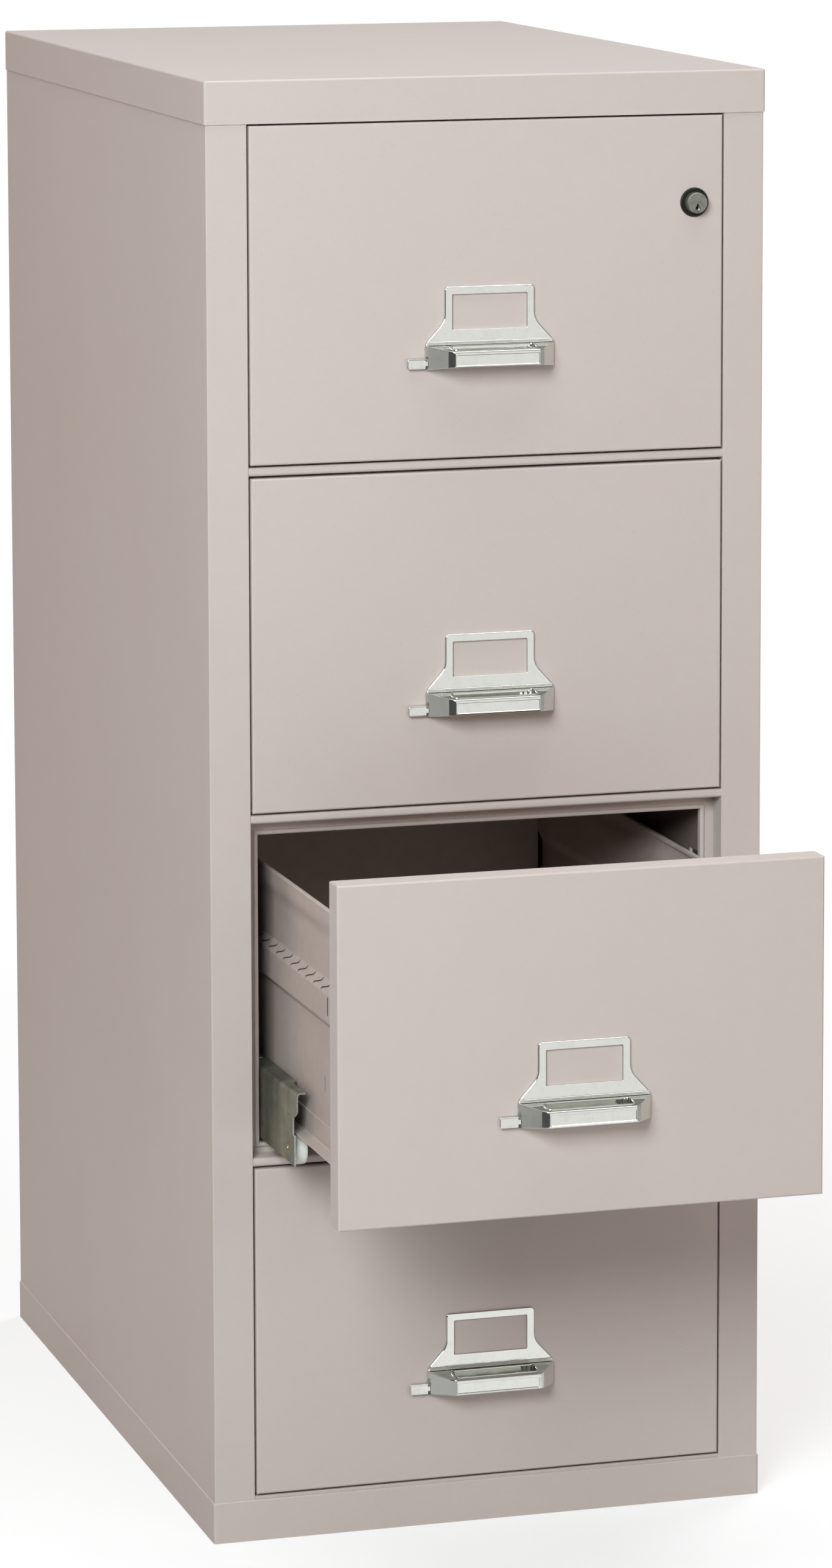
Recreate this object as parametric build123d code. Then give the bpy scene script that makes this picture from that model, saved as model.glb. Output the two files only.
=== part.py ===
from build123d import *
import os
from math import tan, radians

os.makedirs("parts", exist_ok=True)

# A four-drawer fireproof filing cabinet. Millimetres, +Z up, the drawers open towards -Y,
# the origin on the floor under the middle of the closed cabinet. Drawer 1 is the top one.
# "Behind" is the distance behind the plane of the closed drawer fronts, and a "rise" is a
# height above the lower edge of a drawer's front.

# Cabinet, closed
width = 528.64
depth = 801.69
height = 1339.85
outer_sheet = 1.2
cap_clearance = 0.1
top_cover_height = 39.2
plinth_height = 38.3
cap_corner_radius = 2.5
cap_edge_radius = 2.0
seam_width = 0.4
seam_setback = 6.5
plinth_top_bevel = 0.9
outer_corner_radius = 1.3
jamb_corner_radius = 0.9

# Drawer fronts in their openings, and the rails between them
drawer_count = 4
stile_width = 39.32
jamb_depth = 25.0
front_depth = 24.4
front_side_gap = 1.8
front_edge_radius = 1.8
front_corner_slit = 0.5
sill_gap = 5.1
header_gap = 1.7
rail_height = 8.0
rail_gap = 1.99
rail_recess = 0.8
rail_nose_radius = 3.0
sill_recess = 1.0

# Insulated cells behind the openings, each with a beaded frame at its mouth
liner_sheet = 0.9
ledge_width = 8.0
ledge_sheet = 1.2
cell_floor_rise = 6.2
cell_ceiling_drop = 11.4
back_insulation = 49.3
bead_width = 4.6
bead_lead = 1.0
bead_depth = 7.0
bead_radius = 1.9
bead_overlap = 0.9

# Insulated drawer heads
bead_seal_gap = 0.4
head_step_gap = 4.0
head_step_depth = 20.0
head_step_bevel = 1.5

# Roller slides: a fixed channel, an arm that travels half as far as the drawer, four rollers
channel_sheet = 1.5
channel_top_flange = 14.0
channel_flange_margin = 0.3
channel_front_gap = 2.0
channel_back_gap = 49.0
roller_radius = 15.2
roller_width = 12.6
roller_clearance = 0.3
roller_tray_gap = 1.3
roller_arm_gap = 2.1
axle_radius = 3.0
axle_clearance = 0.05
axle_head_radius = 4.6
axle_head_proud = 0.3
axle_inner_head = 0.5
arm_bead_gap = 0.8
arm_sheet = 1.6
arm_bottom_rise = 11.7
arm_height = 67.4
arm_flange = 15.0
arm_bend_radius = 1.4
arm_front_gap = 3.0
arm_length = 592.0
arm_notch_depth = 46.0
arm_notch_width = 4.5
arm_joggle_rise = 42.0
arm_joggle_step = 3.5
front_axle_from_arm_end = 25.6
axle_spacing = 326.4
arm_top_clearance = 0.8

# Drawer trays, with the heights of the side's folds below its top edge
tray_sheet = 1.0
tray_back_gap = 14.0
tray_top_drop = 47.4
tray_back_drop = 5.5
lip_bead_out = 3.0
lip_bead_drop = 14.0
lip_foot_drop = 24.5
band_out = 5.0
band_slope_top_drop = 64.0
band_slope_low_drop = 75.0
band_low_drop = 100.5
band_foot_drop = 106.0
divider_slot_setback = 71.0
divider_slot_width = 3.2
divider_slot_drop = 94.0
divider_slot_height = 17.5
runner_sheet = 1.4
runner_width = 13.0
runner_leg_height = 22.0

# Handles, thumb latches
plate_thickness = 2.8
handle_top_rise = 156.1
handle_bottom_rise = 81.0
handle_neck_rise = 134.5
handle_shoulder_rise = 105.0
plate_neck_width = 85.0
plate_foot_width = 122.0
plate_corner_radius = 3.6
plate_edge_radius = 1.0
neck_radius = 17.0
shoulder_radius = 13.0
window_width = 70.6
window_low_rise = 117.0
window_high_rise = 149.0
grip_front_width = 91.0
grip_reach = 28.0
grip_top_rise = 103.2
grip_front_top_rise = 99.6
grip_front_low_rise = 85.2
grip_edge_radius = 1.4
panel_margin = 3.0
panel_inset = 0.5
finger_slot_width = 81.0
finger_slot_front_wall = 5.4
finger_slot_back_wall = 4.6
finger_slot_floor = 3.0
finger_slot_radius = 5.0
ridge_height = 2.6
ridge_proud = 1.4
tab_width = 17.0
tab_low_rise = 82.4
tab_high_rise = 92.0
tab_thickness = 2.4
tab_stand_off = 1.0
tab_corner_radius = 1.6
latch_travel = 6.0
latch_bar_size = 4.0
latch_clearance = 0.6
latch_stem_inset = 8.0
latch_rod_behind = 36.0
latch_bead_gap = 0.5

# Plunger lock in the top drawer's front, and the lock bar that it lifts
lock_side_gap = 27.4
lock_drop = 79.2
bezel_radius = 13.5
bezel_proud = 1.6
bezel_bevel = 0.8
lock_body_radius = 11.6
lock_body_length = 20.0
plunger_radius = 9.5
plunger_clearance = 0.05
plunger_stand_out = 10.0
plunger_bevel = 0.6
lock_travel = 9.0
key_plug_radius = 5.2
key_plug_drop = 3.4
key_plug_length = 16.0
key_plug_proud = 0.4
keyhole_width = 1.6
keyhole_height = 7.0
keyhole_depth = 8.0
link_size = 3.0
link_bead_gap = 0.6
link_tail_width = 5.8
link_pocket_clearance = 0.8
bar_thickness = 3.0
bar_width = 16.0
bar_wall_gap = 1.6
bar_behind = 50.0
bar_end_gap = 22.0
bar_guide_clearance = 0.3
bar_guide_height = 12.0
bar_guide_wall = 3.0
hook_thickness = 4.0
hook_height = 12.0
hook_tray_gap = 1.4
hook_top_drop = 58.0
hook_behind = 56.0
wedge_head_gap = 0.6
wedge_clearance = 0.3
wedge_back = 4.0
wedge_height = 14.0
wedge_lug_gap = 2.0
lug_hook_gap = 3.5
lug_height = 22.0
lug_wall = 4.0
lug_slot_clearance = 1.0

# How far the drawers are pulled out in the stored pose, as photographed
drawer_pull = {1: 0.0, 2: 0.0, 3: 276.5, 4: 0.0}
arm_share = 0.5

# Outer shell, worked out from the sizes above
front_plane = -depth / 2
body_half_width = width / 2 - outer_sheet - cap_clearance
body_front = front_plane + outer_sheet + cap_clearance
body_back = depth / 2 - outer_sheet - cap_clearance
body_floor = outer_sheet
body_top = height - outer_sheet
lid_bottom = height - top_cover_height
insulation_half = body_half_width - outer_sheet

# Openings, drawer fronts and cells
opening_half = width / 2 - stile_width
front_half = opening_half - front_side_gap
lowest_front_z = plinth_height + sill_gap
fronts_height = lid_bottom - header_gap - lowest_front_z
front_height = (fronts_height - (drawer_count - 1) * (rail_height + 2 * rail_gap)) / drawer_count
front_pitch = front_height + rail_height + 2 * rail_gap
ledge_back = jamb_depth + ledge_sheet
bead_front = jamb_depth - bead_lead
cell_front = bead_front + bead_depth
cell_end = depth - outer_sheet * 2 - cap_clearance - back_insulation - liner_sheet
cell_half = opening_half - ledge_width
cell_height = front_height - cell_floor_rise - cell_ceiling_drop
liner_half = cell_half + liner_sheet
bead_half = cell_half - bead_width
head_face = bead_front - bead_seal_gap
head_back = jamb_depth + head_step_depth
head_step_half = bead_half - head_step_gap

# Slides and trays, from the bead inwards
arm_outer_x = bead_half - arm_bead_gap
roller_outer_x = arm_outer_x - arm_sheet - roller_arm_gap
roller_inner_x = roller_outer_x - roller_width
tray_half_width = roller_inner_x - roller_tray_gap
arm_setback = head_back + arm_front_gap
channel_setback = head_back + channel_front_gap
tray_length = cell_end - tray_back_gap - head_back
tray_top_rise = front_height - tray_top_drop
track_rise = cell_floor_rise + channel_sheet
axle_rise = track_rise + roller_clearance + roller_radius
runner_rise = axle_rise + roller_radius + roller_clearance
tray_floor_rise = runner_rise
runner_outer_x = tray_half_width + runner_width
arm_top_rise = arm_bottom_rise + arm_height

# Lock
lock_x = front_half - lock_side_gap
link_tip_x = bead_half - link_bead_gap
link_tail = head_back - lock_travel + link_size
bar_inner_x = liner_half + bar_wall_gap
bar_outer_x = bar_inner_x + bar_thickness
hook_tip_x = tray_half_width + band_out + hook_tray_gap
hook_top_rise = tray_top_rise - hook_top_drop
wedge_inner_x = head_step_half + wedge_head_gap
lug_outer_x = wedge_inner_x - wedge_lug_gap
lug_low_rise = hook_top_rise + lug_hook_gap
bar_shaft_y = (
    front_plane + bar_behind - bar_guide_wall,
    front_plane + bar_behind + bar_width + bar_guide_wall,
)


def behind(distance):
    return front_plane + distance


def front_bottom(drawer):
    return lowest_front_z + (drawer_count - drawer) * front_pitch


def block(x_span, y_span, z_span):
    sizes = [abs(span[1] - span[0]) for span in (x_span, y_span, z_span)]
    middle = [(span[0] + span[1]) / 2 for span in (x_span, y_span, z_span)]
    return Pos(*middle) * Box(*sizes)


def prism_along_z(points, z_span):
    face = Pos(0, 0, z_span[0]) * make_face(Polyline(*points, close=True))
    return extrude(face, z_span[1] - z_span[0], dir=(0, 0, 1))


def prism_along_y(points, y_span):
    # points are (x, z)
    outline = Polyline(*[(x, y_span[0], z) for x, z in points], close=True)
    return extrude(make_face(outline), y_span[1] - y_span[0], dir=(0, 1, 0))


def rod(centre, radius, length, direction):
    plane = Plane(origin=centre, z_dir=direction)
    return extrude(plane * Circle(radius), length)


def on_both_sides(shape):
    return Compound(children=[shape, mirror(shape, about=Plane.YZ)])


def edges_beside(shape, axis, at, reach):
    """Edges along an axis whose middle lies near a point, where None stands for any place."""
    found = []
    for edge in shape.edges().filter_by(axis):
        middle = edge @ 0.5
        if all(p is None or abs(m - p) < reach for m, p in zip(middle, at)):
            found.append(edge)
    return found


def pulled(shape, drawer, share=1.0):
    return Pos(0, -drawer_pull[drawer] * share, 0) * shape


nodes = {}


# Outer shell

def cap(low_z, high_z, open_side):
    """A folded cap with one open side, 1 for open upwards and -1 for open downwards."""
    half = width / 2
    outer = block((-half, half), (front_plane, -front_plane), (low_z, high_z))
    outer = fillet(outer.edges().filter_by(Axis.Z), cap_corner_radius)
    if open_side < 0:
        outer = fillet(outer.faces().sort_by(Axis.Z)[-1].edges(), cap_edge_radius)
    else:
        outer = chamfer(outer.faces().sort_by(Axis.Z)[-1].edges(), plinth_top_bevel)
    inner_low = low_z + outer_sheet if open_side > 0 else low_z
    inner_high = high_z if open_side > 0 else high_z - outer_sheet
    inset = half - outer_sheet
    inner_y = front_plane + outer_sheet
    hollow = block((-inset, inset), (inner_y, -inner_y), (inner_low, inner_high))
    shell = outer - hollow
    # the front wall is folded round each corner and butts against the side wall there
    for side in (-1, 1):
        seam_y = behind(seam_setback)
        groove = block(
            (side * half - seam_width, side * half + seam_width),
            (seam_y, seam_y + seam_width),
            (low_z - seam_width, high_z + seam_width),
        )
        shell -= groove
    return shell


def side_panel(side):
    """Side sheet, folded round into the front stile and the jamb of the drawer openings."""
    outer_x = body_half_width
    points = [
        (outer_x, body_back),
        (outer_x, body_front),
        (opening_half, body_front),
        (opening_half, behind(jamb_depth)),
        (opening_half + outer_sheet, behind(jamb_depth)),
        (opening_half + outer_sheet, body_front + outer_sheet),
        (outer_x - outer_sheet, body_front + outer_sheet),
        (outer_x - outer_sheet, body_back),
    ]
    panel = prism_along_z(points, (body_floor, body_top))
    panel = fillet(edges_beside(panel, Axis.Z, (outer_x, body_front, None), 0.1), outer_corner_radius)
    panel = fillet(edges_beside(panel, Axis.Z, (opening_half, body_front, None), 0.1), jamb_corner_radius)
    return panel if side > 0 else mirror(panel, about=Plane.YZ)


def back_panel():
    half = body_half_width - outer_sheet
    return block((-half, half), (body_back - outer_sheet, body_back), (body_floor, body_top))


def drawer_rail(upper_drawer):
    """Channel with a rounded nose between two drawer fronts."""
    top_z = front_bottom(upper_drawer) - rail_gap
    low_z = top_z - rail_height
    nose_y = body_front + rail_recess
    rail = block((-opening_half, opening_half), (nose_y, behind(jamb_depth)), (low_z, top_z))
    nose = [e for e in rail.edges().filter_by(Axis.X) if abs((e @ 0.5).Y - nose_y) < 0.1]
    rail = fillet(nose, rail_nose_radius)
    hollow = block(
        (-opening_half, opening_half),
        (nose_y + rail_nose_radius, behind(jamb_depth)),
        (low_z + outer_sheet, top_z - outer_sheet),
    )
    return rail - hollow


def edge_strip(low_z, high_z, lip_at_top):
    """Angle that closes an opening against the plinth or the top cover."""
    front_y = body_front + sill_recess
    lip = block((-opening_half, opening_half), (front_y, front_y + outer_sheet), (low_z, high_z))
    ledge_z = high_z - outer_sheet if not lip_at_top else low_z
    ledge_span = (ledge_z, ledge_z + outer_sheet)
    return lip + block((-opening_half, opening_half), (front_y, behind(jamb_depth)), ledge_span)


def cell_z(drawer):
    low = front_bottom(drawer) + cell_floor_rise
    return low, low + cell_height


def cell_frame(drawer):
    """Ledge and bead round a cell's mouth, four mitred strips."""
    cell_low, cell_high = cell_z(drawer)
    bottom = front_bottom(drawer) - rail_gap
    top = front_bottom(drawer) + front_height + rail_gap
    outer_half = opening_half + outer_sheet
    bead_low = cell_low + bead_overlap
    bead_high = cell_high - bead_overlap

    def corners(half, low, high):
        return [(-half, low), (half, low), (half, high), (-half, high)]

    outer = corners(outer_half, bottom, top)
    rim = corners(cell_half, bead_low - bead_width, bead_high + bead_width)
    inner = corners(bead_half, bead_low, bead_high)
    strips = []
    for corner in range(4):
        following = (corner + 1) % 4
        ledge_outline = [outer[corner], outer[following], rim[following], rim[corner]]
        ledge = prism_along_y(ledge_outline, (behind(jamb_depth), behind(ledge_back)))
        bead_outline = [rim[corner], rim[following], inner[following], inner[corner]]
        bead = prism_along_y(bead_outline, (behind(bead_front), behind(cell_front)))
        long_edges = bead.faces().sort_by(Axis.Y)[0].edges().sort_by(SortBy.LENGTH)[-2:]
        strips.append(ledge + fillet(long_edges, bead_radius))
    return Compound(children=strips)


# Insulation and inner jackets

def hook_window(drawer):
    """Space through the right wall in which a drawer's hook and the lifting wedge move."""
    z = front_bottom(drawer)
    low = z + hook_top_rise - hook_height - bar_guide_clearance
    high = z + front_height - lock_drop + wedge_height + lock_travel
    return (behind(cell_front + bar_guide_clearance), bar_shaft_y[1]), (low, high)


def cell_liner(drawer):
    low, high = cell_z(drawer)
    front_y, back_y = behind(cell_front), behind(cell_end)
    z_span = (low - liner_sheet, high + liner_sheet)
    outer = block((-liner_half, liner_half), (front_y, back_y + liner_sheet), z_span)
    liner = outer - block((-cell_half, cell_half), (front_y, back_y), (low, high))
    y_span, z_span = hook_window(drawer)
    return liner - block((cell_half, liner_half), y_span, z_span)


def bar_shaft():
    """Shaft in the right wall that the lock bar slides in."""
    x_span = (liner_half, bar_outer_x + bar_guide_wall)
    return block(x_span, bar_shaft_y, (body_floor + bar_end_gap, body_top - bar_end_gap))


def insulation_walls():
    """Side and back slabs, with a rib that fills each stile."""
    slab_back = body_back - outer_sheet
    slab = block((liner_half, insulation_half), (behind(ledge_back), slab_back), (body_floor, body_top))
    rib_x = (opening_half + outer_sheet, insulation_half)
    rib = block(rib_x, (body_front + outer_sheet, behind(ledge_back)), (body_floor, body_top))
    left = [mirror(slab, about=Plane.YZ), mirror(rib, about=Plane.YZ)]
    right = slab - bar_shaft()
    for drawer in range(1, drawer_count + 1):
        y_span, z_span = hook_window(drawer)
        right -= block((liner_half, bar_inner_x), y_span, z_span)
    back_y = behind(cell_end) + liner_sheet
    back = block((-liner_half, liner_half), (back_y, slab_back), (body_floor, body_top))
    return Compound(children=left + [right, rib, back])


def insulation_decks():
    """Slabs under, between and over the cells."""
    levels = [(body_floor, cell_z(drawer_count)[0] - liner_sheet)]
    for drawer in range(drawer_count, 1, -1):
        levels.append((cell_z(drawer)[1] + liner_sheet, cell_z(drawer - 1)[0] - liner_sheet))
    levels.append((cell_z(1)[1] + liner_sheet, body_top))
    y_span = (behind(cell_front), behind(cell_end) + liner_sheet)
    return Compound(children=[block((-liner_half, liner_half), y_span, level) for level in levels])


# Slides

def slide_channel(drawer):
    """Fixed channel of the right side: web on the cell's wall, rollers run on its lower flange."""
    low = cell_z(drawer)[0]
    top = front_bottom(drawer) + arm_top_rise + arm_top_clearance + channel_sheet
    y_span = (behind(channel_setback), behind(cell_end - channel_back_gap))
    web = block((cell_half - channel_sheet, cell_half), y_span, (low, top))
    lower = block((roller_inner_x - channel_flange_margin, cell_half), y_span, (low, low + channel_sheet))
    upper = block((cell_half - channel_top_flange, cell_half), y_span, (top - channel_sheet, top))
    return web + lower + upper


def axle_places(drawer):
    first = behind(arm_setback + front_axle_from_arm_end)
    z = front_bottom(drawer) + axle_rise
    return [(first, z), (first + axle_spacing, z)]


def slide_arm(drawer):
    """Travelling member of the right side, with the axles of its two rollers."""
    low = front_bottom(drawer) + arm_bottom_rise
    top = front_bottom(drawer) + arm_top_rise
    front_y = behind(arm_setback)
    back_y = front_y + arm_length
    web_x = (arm_outer_x - arm_sheet, arm_outer_x)
    web = block(web_x, (front_y, back_y), (low, top))
    # the lower part of the front end is cut back a little under a sloping step
    step_z = front_bottom(drawer) + arm_joggle_rise
    step = [
        (front_y, step_z + arm_joggle_step),
        (front_y + arm_joggle_step, step_z),
        (front_y + arm_joggle_step, low - 1),
        (front_y - 1, low - 1),
        (front_y - 1, step_z + arm_joggle_step),
    ]
    outline = Polyline(*[(web_x[0], y, z) for y, z in step], close=True)
    web -= extrude(make_face(outline), arm_sheet, dir=(1, 0, 0))
    flange = block((arm_outer_x - arm_flange, arm_outer_x), (front_y, back_y), (top - arm_sheet, top))
    notch = block(
        (arm_outer_x - arm_flange, arm_outer_x - arm_flange + arm_notch_width),
        (front_y, front_y + arm_notch_depth),
        (top - arm_sheet, top),
    )
    arm = web + (flange - notch)
    arm = fillet(edges_beside(arm, Axis.Y, (arm_outer_x, None, top), 0.1), arm_bend_radius)
    inner_end = roller_inner_x - roller_clearance - axle_inner_head
    for y, z in axle_places(drawer):
        arm += rod((inner_end, y, z), axle_radius, arm_outer_x - inner_end, (1, 0, 0))
        arm += rod((inner_end, y, z), axle_head_radius, axle_inner_head, (1, 0, 0))
        arm += rod((arm_outer_x, y, z), axle_head_radius, axle_head_proud, (1, 0, 0))
    return arm


def slide_rollers(drawer, which):
    y, z = axle_places(drawer)[which]
    roller = rod((roller_inner_x, y, z), roller_radius, roller_width, (1, 0, 0))
    rims = [e for e in roller.edges().filter_by(GeomType.CIRCLE)]
    roller = fillet(rims, 1.2)
    roller -= rod((roller_inner_x - 1, y, z), axle_radius + axle_clearance, roller_width + 2, (1, 0, 0))
    return on_both_sides(roller)


# Drawers

def tray_side(drawer):
    """Right side sheet with a bead along its top and a raised band."""
    top = front_bottom(drawer) + tray_top_rise
    outline = [
        (tray_half_width + lip_bead_out, top),
        (tray_half_width + lip_bead_out, top - lip_bead_drop),
        (tray_half_width, top - lip_foot_drop),
        (tray_half_width, top - band_slope_top_drop),
        (tray_half_width + band_out, top - band_slope_low_drop),
        (tray_half_width + band_out, top - band_low_drop),
        (tray_half_width, top - band_foot_drop),
        (tray_half_width, front_bottom(drawer) + tray_floor_rise),
    ]
    inner = [(x - tray_sheet, z) for x, z in reversed(outline)]
    side = prism_along_y(outline + inner, (behind(head_back), behind(head_back + tray_length)))
    slot_y = behind(head_back + divider_slot_setback)
    slot_z = top - divider_slot_drop
    slot = block(
        (tray_half_width, tray_half_width + band_out),
        (slot_y, slot_y + divider_slot_width),
        (slot_z, slot_z + divider_slot_height),
    )
    return side - fillet(slot.edges().filter_by(Axis.X), divider_slot_width * 0.45)


def tray_runner(drawer):
    """Angle rail on the right side sheet's lower edge, whose flange the rollers carry."""
    low = front_bottom(drawer) + runner_rise
    y_span = (behind(head_back), behind(head_back + tray_length))
    flange = block((tray_half_width, runner_outer_x), y_span, (low, low + runner_sheet))
    leg = block((tray_half_width, tray_half_width + runner_sheet), y_span, (low, low + runner_leg_height))
    return flange + leg


def lock_lug(drawer):
    """Block on the right side with a slot that a raised hook enters from below."""
    z = front_bottom(drawer)
    slot_half = hook_thickness / 2 + lug_slot_clearance
    slot_middle = behind(hook_behind + hook_thickness / 2)
    slot = (slot_middle - slot_half, slot_middle + slot_half)
    x_span, z_span = (tray_half_width, lug_outer_x), (z + lug_low_rise, z + lug_low_rise + lug_height)
    front_wall = block(x_span, (slot[0] - lug_wall, slot[0]), z_span)
    back_wall = block(x_span, (slot[1], slot[1] + lug_wall), z_span)
    roof = block(x_span, slot, (z_span[1] - lug_wall, z_span[1]))
    return [front_wall, back_wall, roof]


def drawer_tray(drawer):
    z = front_bottom(drawer)
    inner = tray_half_width - tray_sheet
    y_span = (behind(head_back), behind(head_back + tray_length))
    floor = block((-inner, inner), y_span, (z + tray_floor_rise, z + tray_floor_rise + tray_sheet))
    back = block(
        (-inner, inner),
        (y_span[1] - tray_sheet, y_span[1]),
        (z + tray_floor_rise + tray_sheet, z + tray_top_rise - tray_back_drop),
    )
    side, runner = tray_side(drawer), tray_runner(drawer)
    solids = [side, mirror(side, about=Plane.YZ), runner, mirror(runner, about=Plane.YZ), floor, back]
    return Compound(children=solids + lock_lug(drawer))


def latch_passage(drawer):
    """Way through the front and its insulation for the latch's stem and rod."""
    room = latch_bar_size / 2 + latch_clearance
    z = front_bottom(drawer) + (tab_low_rise + tab_high_rise) / 2
    stem_x = -plate_foot_width / 2 + latch_stem_inset
    inner_x = stem_x + room + latch_travel
    z_span = (z - room, z + room)
    stem = block((stem_x - room, inner_x), (behind(0), behind(latch_rod_behind + room)), z_span)
    rod_y = (behind(latch_rod_behind - room), behind(latch_rod_behind + room))
    rod_way = block((-head_step_half, inner_x), rod_y, z_span)
    return stem + rod_way


def lock_place():
    return lock_x, front_bottom(1) + front_height - lock_drop


def drawer_front(drawer):
    """Folded steel pan."""
    half = front_half
    z = front_bottom(drawer)
    outer = block((-half, half), (behind(0), behind(front_depth)), (z, z + front_height))
    outer = fillet(outer.faces().sort_by(Axis.Y)[0].edges(), front_edge_radius)
    inset = half - outer_sheet
    hollow = block(
        (-inset, inset),
        (behind(outer_sheet), behind(front_depth)),
        (z + outer_sheet, z + front_height - outer_sheet),
    )
    pan = outer - hollow
    # the folded edges meet at each corner with a narrow open slit
    for side in (-1, 1):
        for slit_z in (z, z + front_height):
            pan -= block(
                (side * half - outer_sheet, side * half + outer_sheet),
                (behind(front_edge_radius * 2), behind(front_depth)),
                (slit_z - front_corner_slit, slit_z + front_corner_slit),
            )
    pan -= latch_passage(drawer)
    if drawer == 1:
        x, lock_z = lock_place()
        pan -= rod((x, behind(-1), lock_z), lock_body_radius, outer_sheet + 2, (0, 1, 0))
    return pan


def link_pocket():
    x, z = lock_place()
    room = link_size / 2 + link_pocket_clearance
    start = lock_body_length - plunger_bevel
    return block(
        (x - plunger_radius, link_tip_x + link_pocket_clearance),
        (behind(start), behind(head_back)),
        (z - room, z + room),
    )


def drawer_head(drawer):
    """Insulation in the pan, with a step that enters the cell's mouth."""
    z = front_bottom(drawer)
    half = front_half - outer_sheet
    filling_z = (z + outer_sheet, z + front_height - outer_sheet)
    filling = block((-half, half), (behind(outer_sheet), behind(head_face)), filling_z)
    step_low = z + cell_floor_rise + bead_overlap + head_step_gap
    step_high = z + front_height - cell_ceiling_drop - bead_overlap - head_step_gap
    step_x = (-head_step_half, head_step_half)
    step = block(step_x, (behind(head_face), behind(head_back)), (step_low, step_high))
    step = chamfer(step.faces().sort_by(Axis.Y)[-1].edges(), head_step_bevel)
    passages = latch_passage(drawer)
    if drawer == 1:
        x, lock_z = lock_place()
        reach = lock_body_length + lock_travel + link_size - outer_sheet
        passages += rod((x, behind(outer_sheet), lock_z), lock_body_radius, reach, (0, 1, 0))
        passages += link_pocket()
    return Compound(children=[filling - passages, step - passages])


def handle_outline(drawer):
    """Front outline of the handle's plate, with concave necks and round shoulders."""
    z = front_bottom(drawer)
    neck, foot = plate_neck_width / 2, plate_foot_width / 2
    corners = [
        (foot, z + handle_bottom_rise),
        (foot, z + handle_shoulder_rise),
        (neck, z + handle_neck_rise - (foot - neck) / 2),
        (neck, z + handle_top_rise),
    ]
    corners += [(-x, rise) for x, rise in reversed(corners)]
    return prism_along_y(corners, (behind(-plate_thickness), behind(0)))


def drawer_handle(drawer):
    """Cast pull: a plate with a card window over a grip with a finger slot in its top."""
    z = front_bottom(drawer)
    neck, foot = plate_neck_width / 2, plate_foot_width / 2
    plate = handle_outline(drawer)
    rounded = [
        (neck, handle_neck_rise - (foot - neck) / 2, neck_radius),
        (foot, handle_shoulder_rise, shoulder_radius),
        (neck, handle_top_rise, plate_corner_radius),
    ]
    for x, rise, radius in rounded:
        for side in (-1, 1):
            plate = fillet(edges_beside(plate, Axis.Y, (side * x, None, z + rise), 0.1), radius)
    face_y = behind(-plate_thickness)
    low_z = z + handle_bottom_rise
    rim = [e for e in plate.faces().sort_by(Axis.Y)[0].edges() if (e @ 0.5).Z > low_z + 0.1]
    plate = fillet(rim, plate_edge_radius)
    plate -= block(
        (-window_width / 2, window_width / 2),
        (behind(-plate_thickness - 1), behind(1)),
        (z + window_low_rise, z + window_high_rise),
    )
    tip_y = behind(-grip_reach)
    base = Polyline(
        (-foot, face_y, z + handle_bottom_rise),
        (foot, face_y, z + handle_bottom_rise),
        (foot, face_y, z + grip_top_rise),
        (-foot, face_y, z + grip_top_rise),
        close=True,
    )
    half = grip_front_width / 2
    tip = Polyline(
        (-half, tip_y, z + grip_front_low_rise),
        (half, tip_y, z + grip_front_low_rise),
        (half, tip_y, z + grip_front_top_rise),
        (-half, tip_y, z + grip_front_top_rise),
        close=True,
    )
    grip = loft([make_face(base), make_face(tip)], ruled=True)
    grip = fillet([e for e in grip.edges() if (e @ 0.5).Y < face_y - 0.5], grip_edge_radius)
    panel_x = (-half + panel_margin, half - panel_margin)
    panel_z = (z + grip_front_low_rise + panel_margin, z + grip_front_top_rise - panel_margin)
    grip -= block(panel_x, (tip_y, tip_y + panel_inset), panel_z)
    slot_half = finger_slot_width / 2
    slot = block(
        (-slot_half, slot_half),
        (tip_y + finger_slot_front_wall, face_y - finger_slot_back_wall),
        (z + grip_front_low_rise + finger_slot_floor, z + grip_top_rise + 1),
    )
    slot = fillet(slot.edges().filter_by(Axis.Z), finger_slot_radius)
    ridge_z = z + grip_top_rise
    ridge = block(
        (-foot + ridge_height, foot - ridge_height),
        (face_y - ridge_proud, face_y),
        (ridge_z, ridge_z + ridge_height),
    )
    ridge = fillet([e for e in ridge.faces().sort_by(Axis.Y)[0].edges()], ridge_proud * 0.6)
    handle = plate + grip + ridge - slot
    # pocket in the left end that the thumb tab slides into, and the way for its bar
    pocket_y = (behind(-tab_stand_off - latch_bar_size - latch_clearance), behind(1))
    pocket_z = (z + tab_low_rise - latch_clearance, z + tab_high_rise + latch_clearance)
    pocket = block((-foot - 1, -foot + latch_travel + latch_clearance), pocket_y, pocket_z)
    room = latch_bar_size / 2 + latch_clearance
    bar_z = z + (tab_low_rise + tab_high_rise) / 2
    bar_x = (-foot, -foot + latch_stem_inset + room + latch_travel)
    return handle - pocket - block(bar_x, pocket_y, (bar_z - room, bar_z + room))


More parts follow.
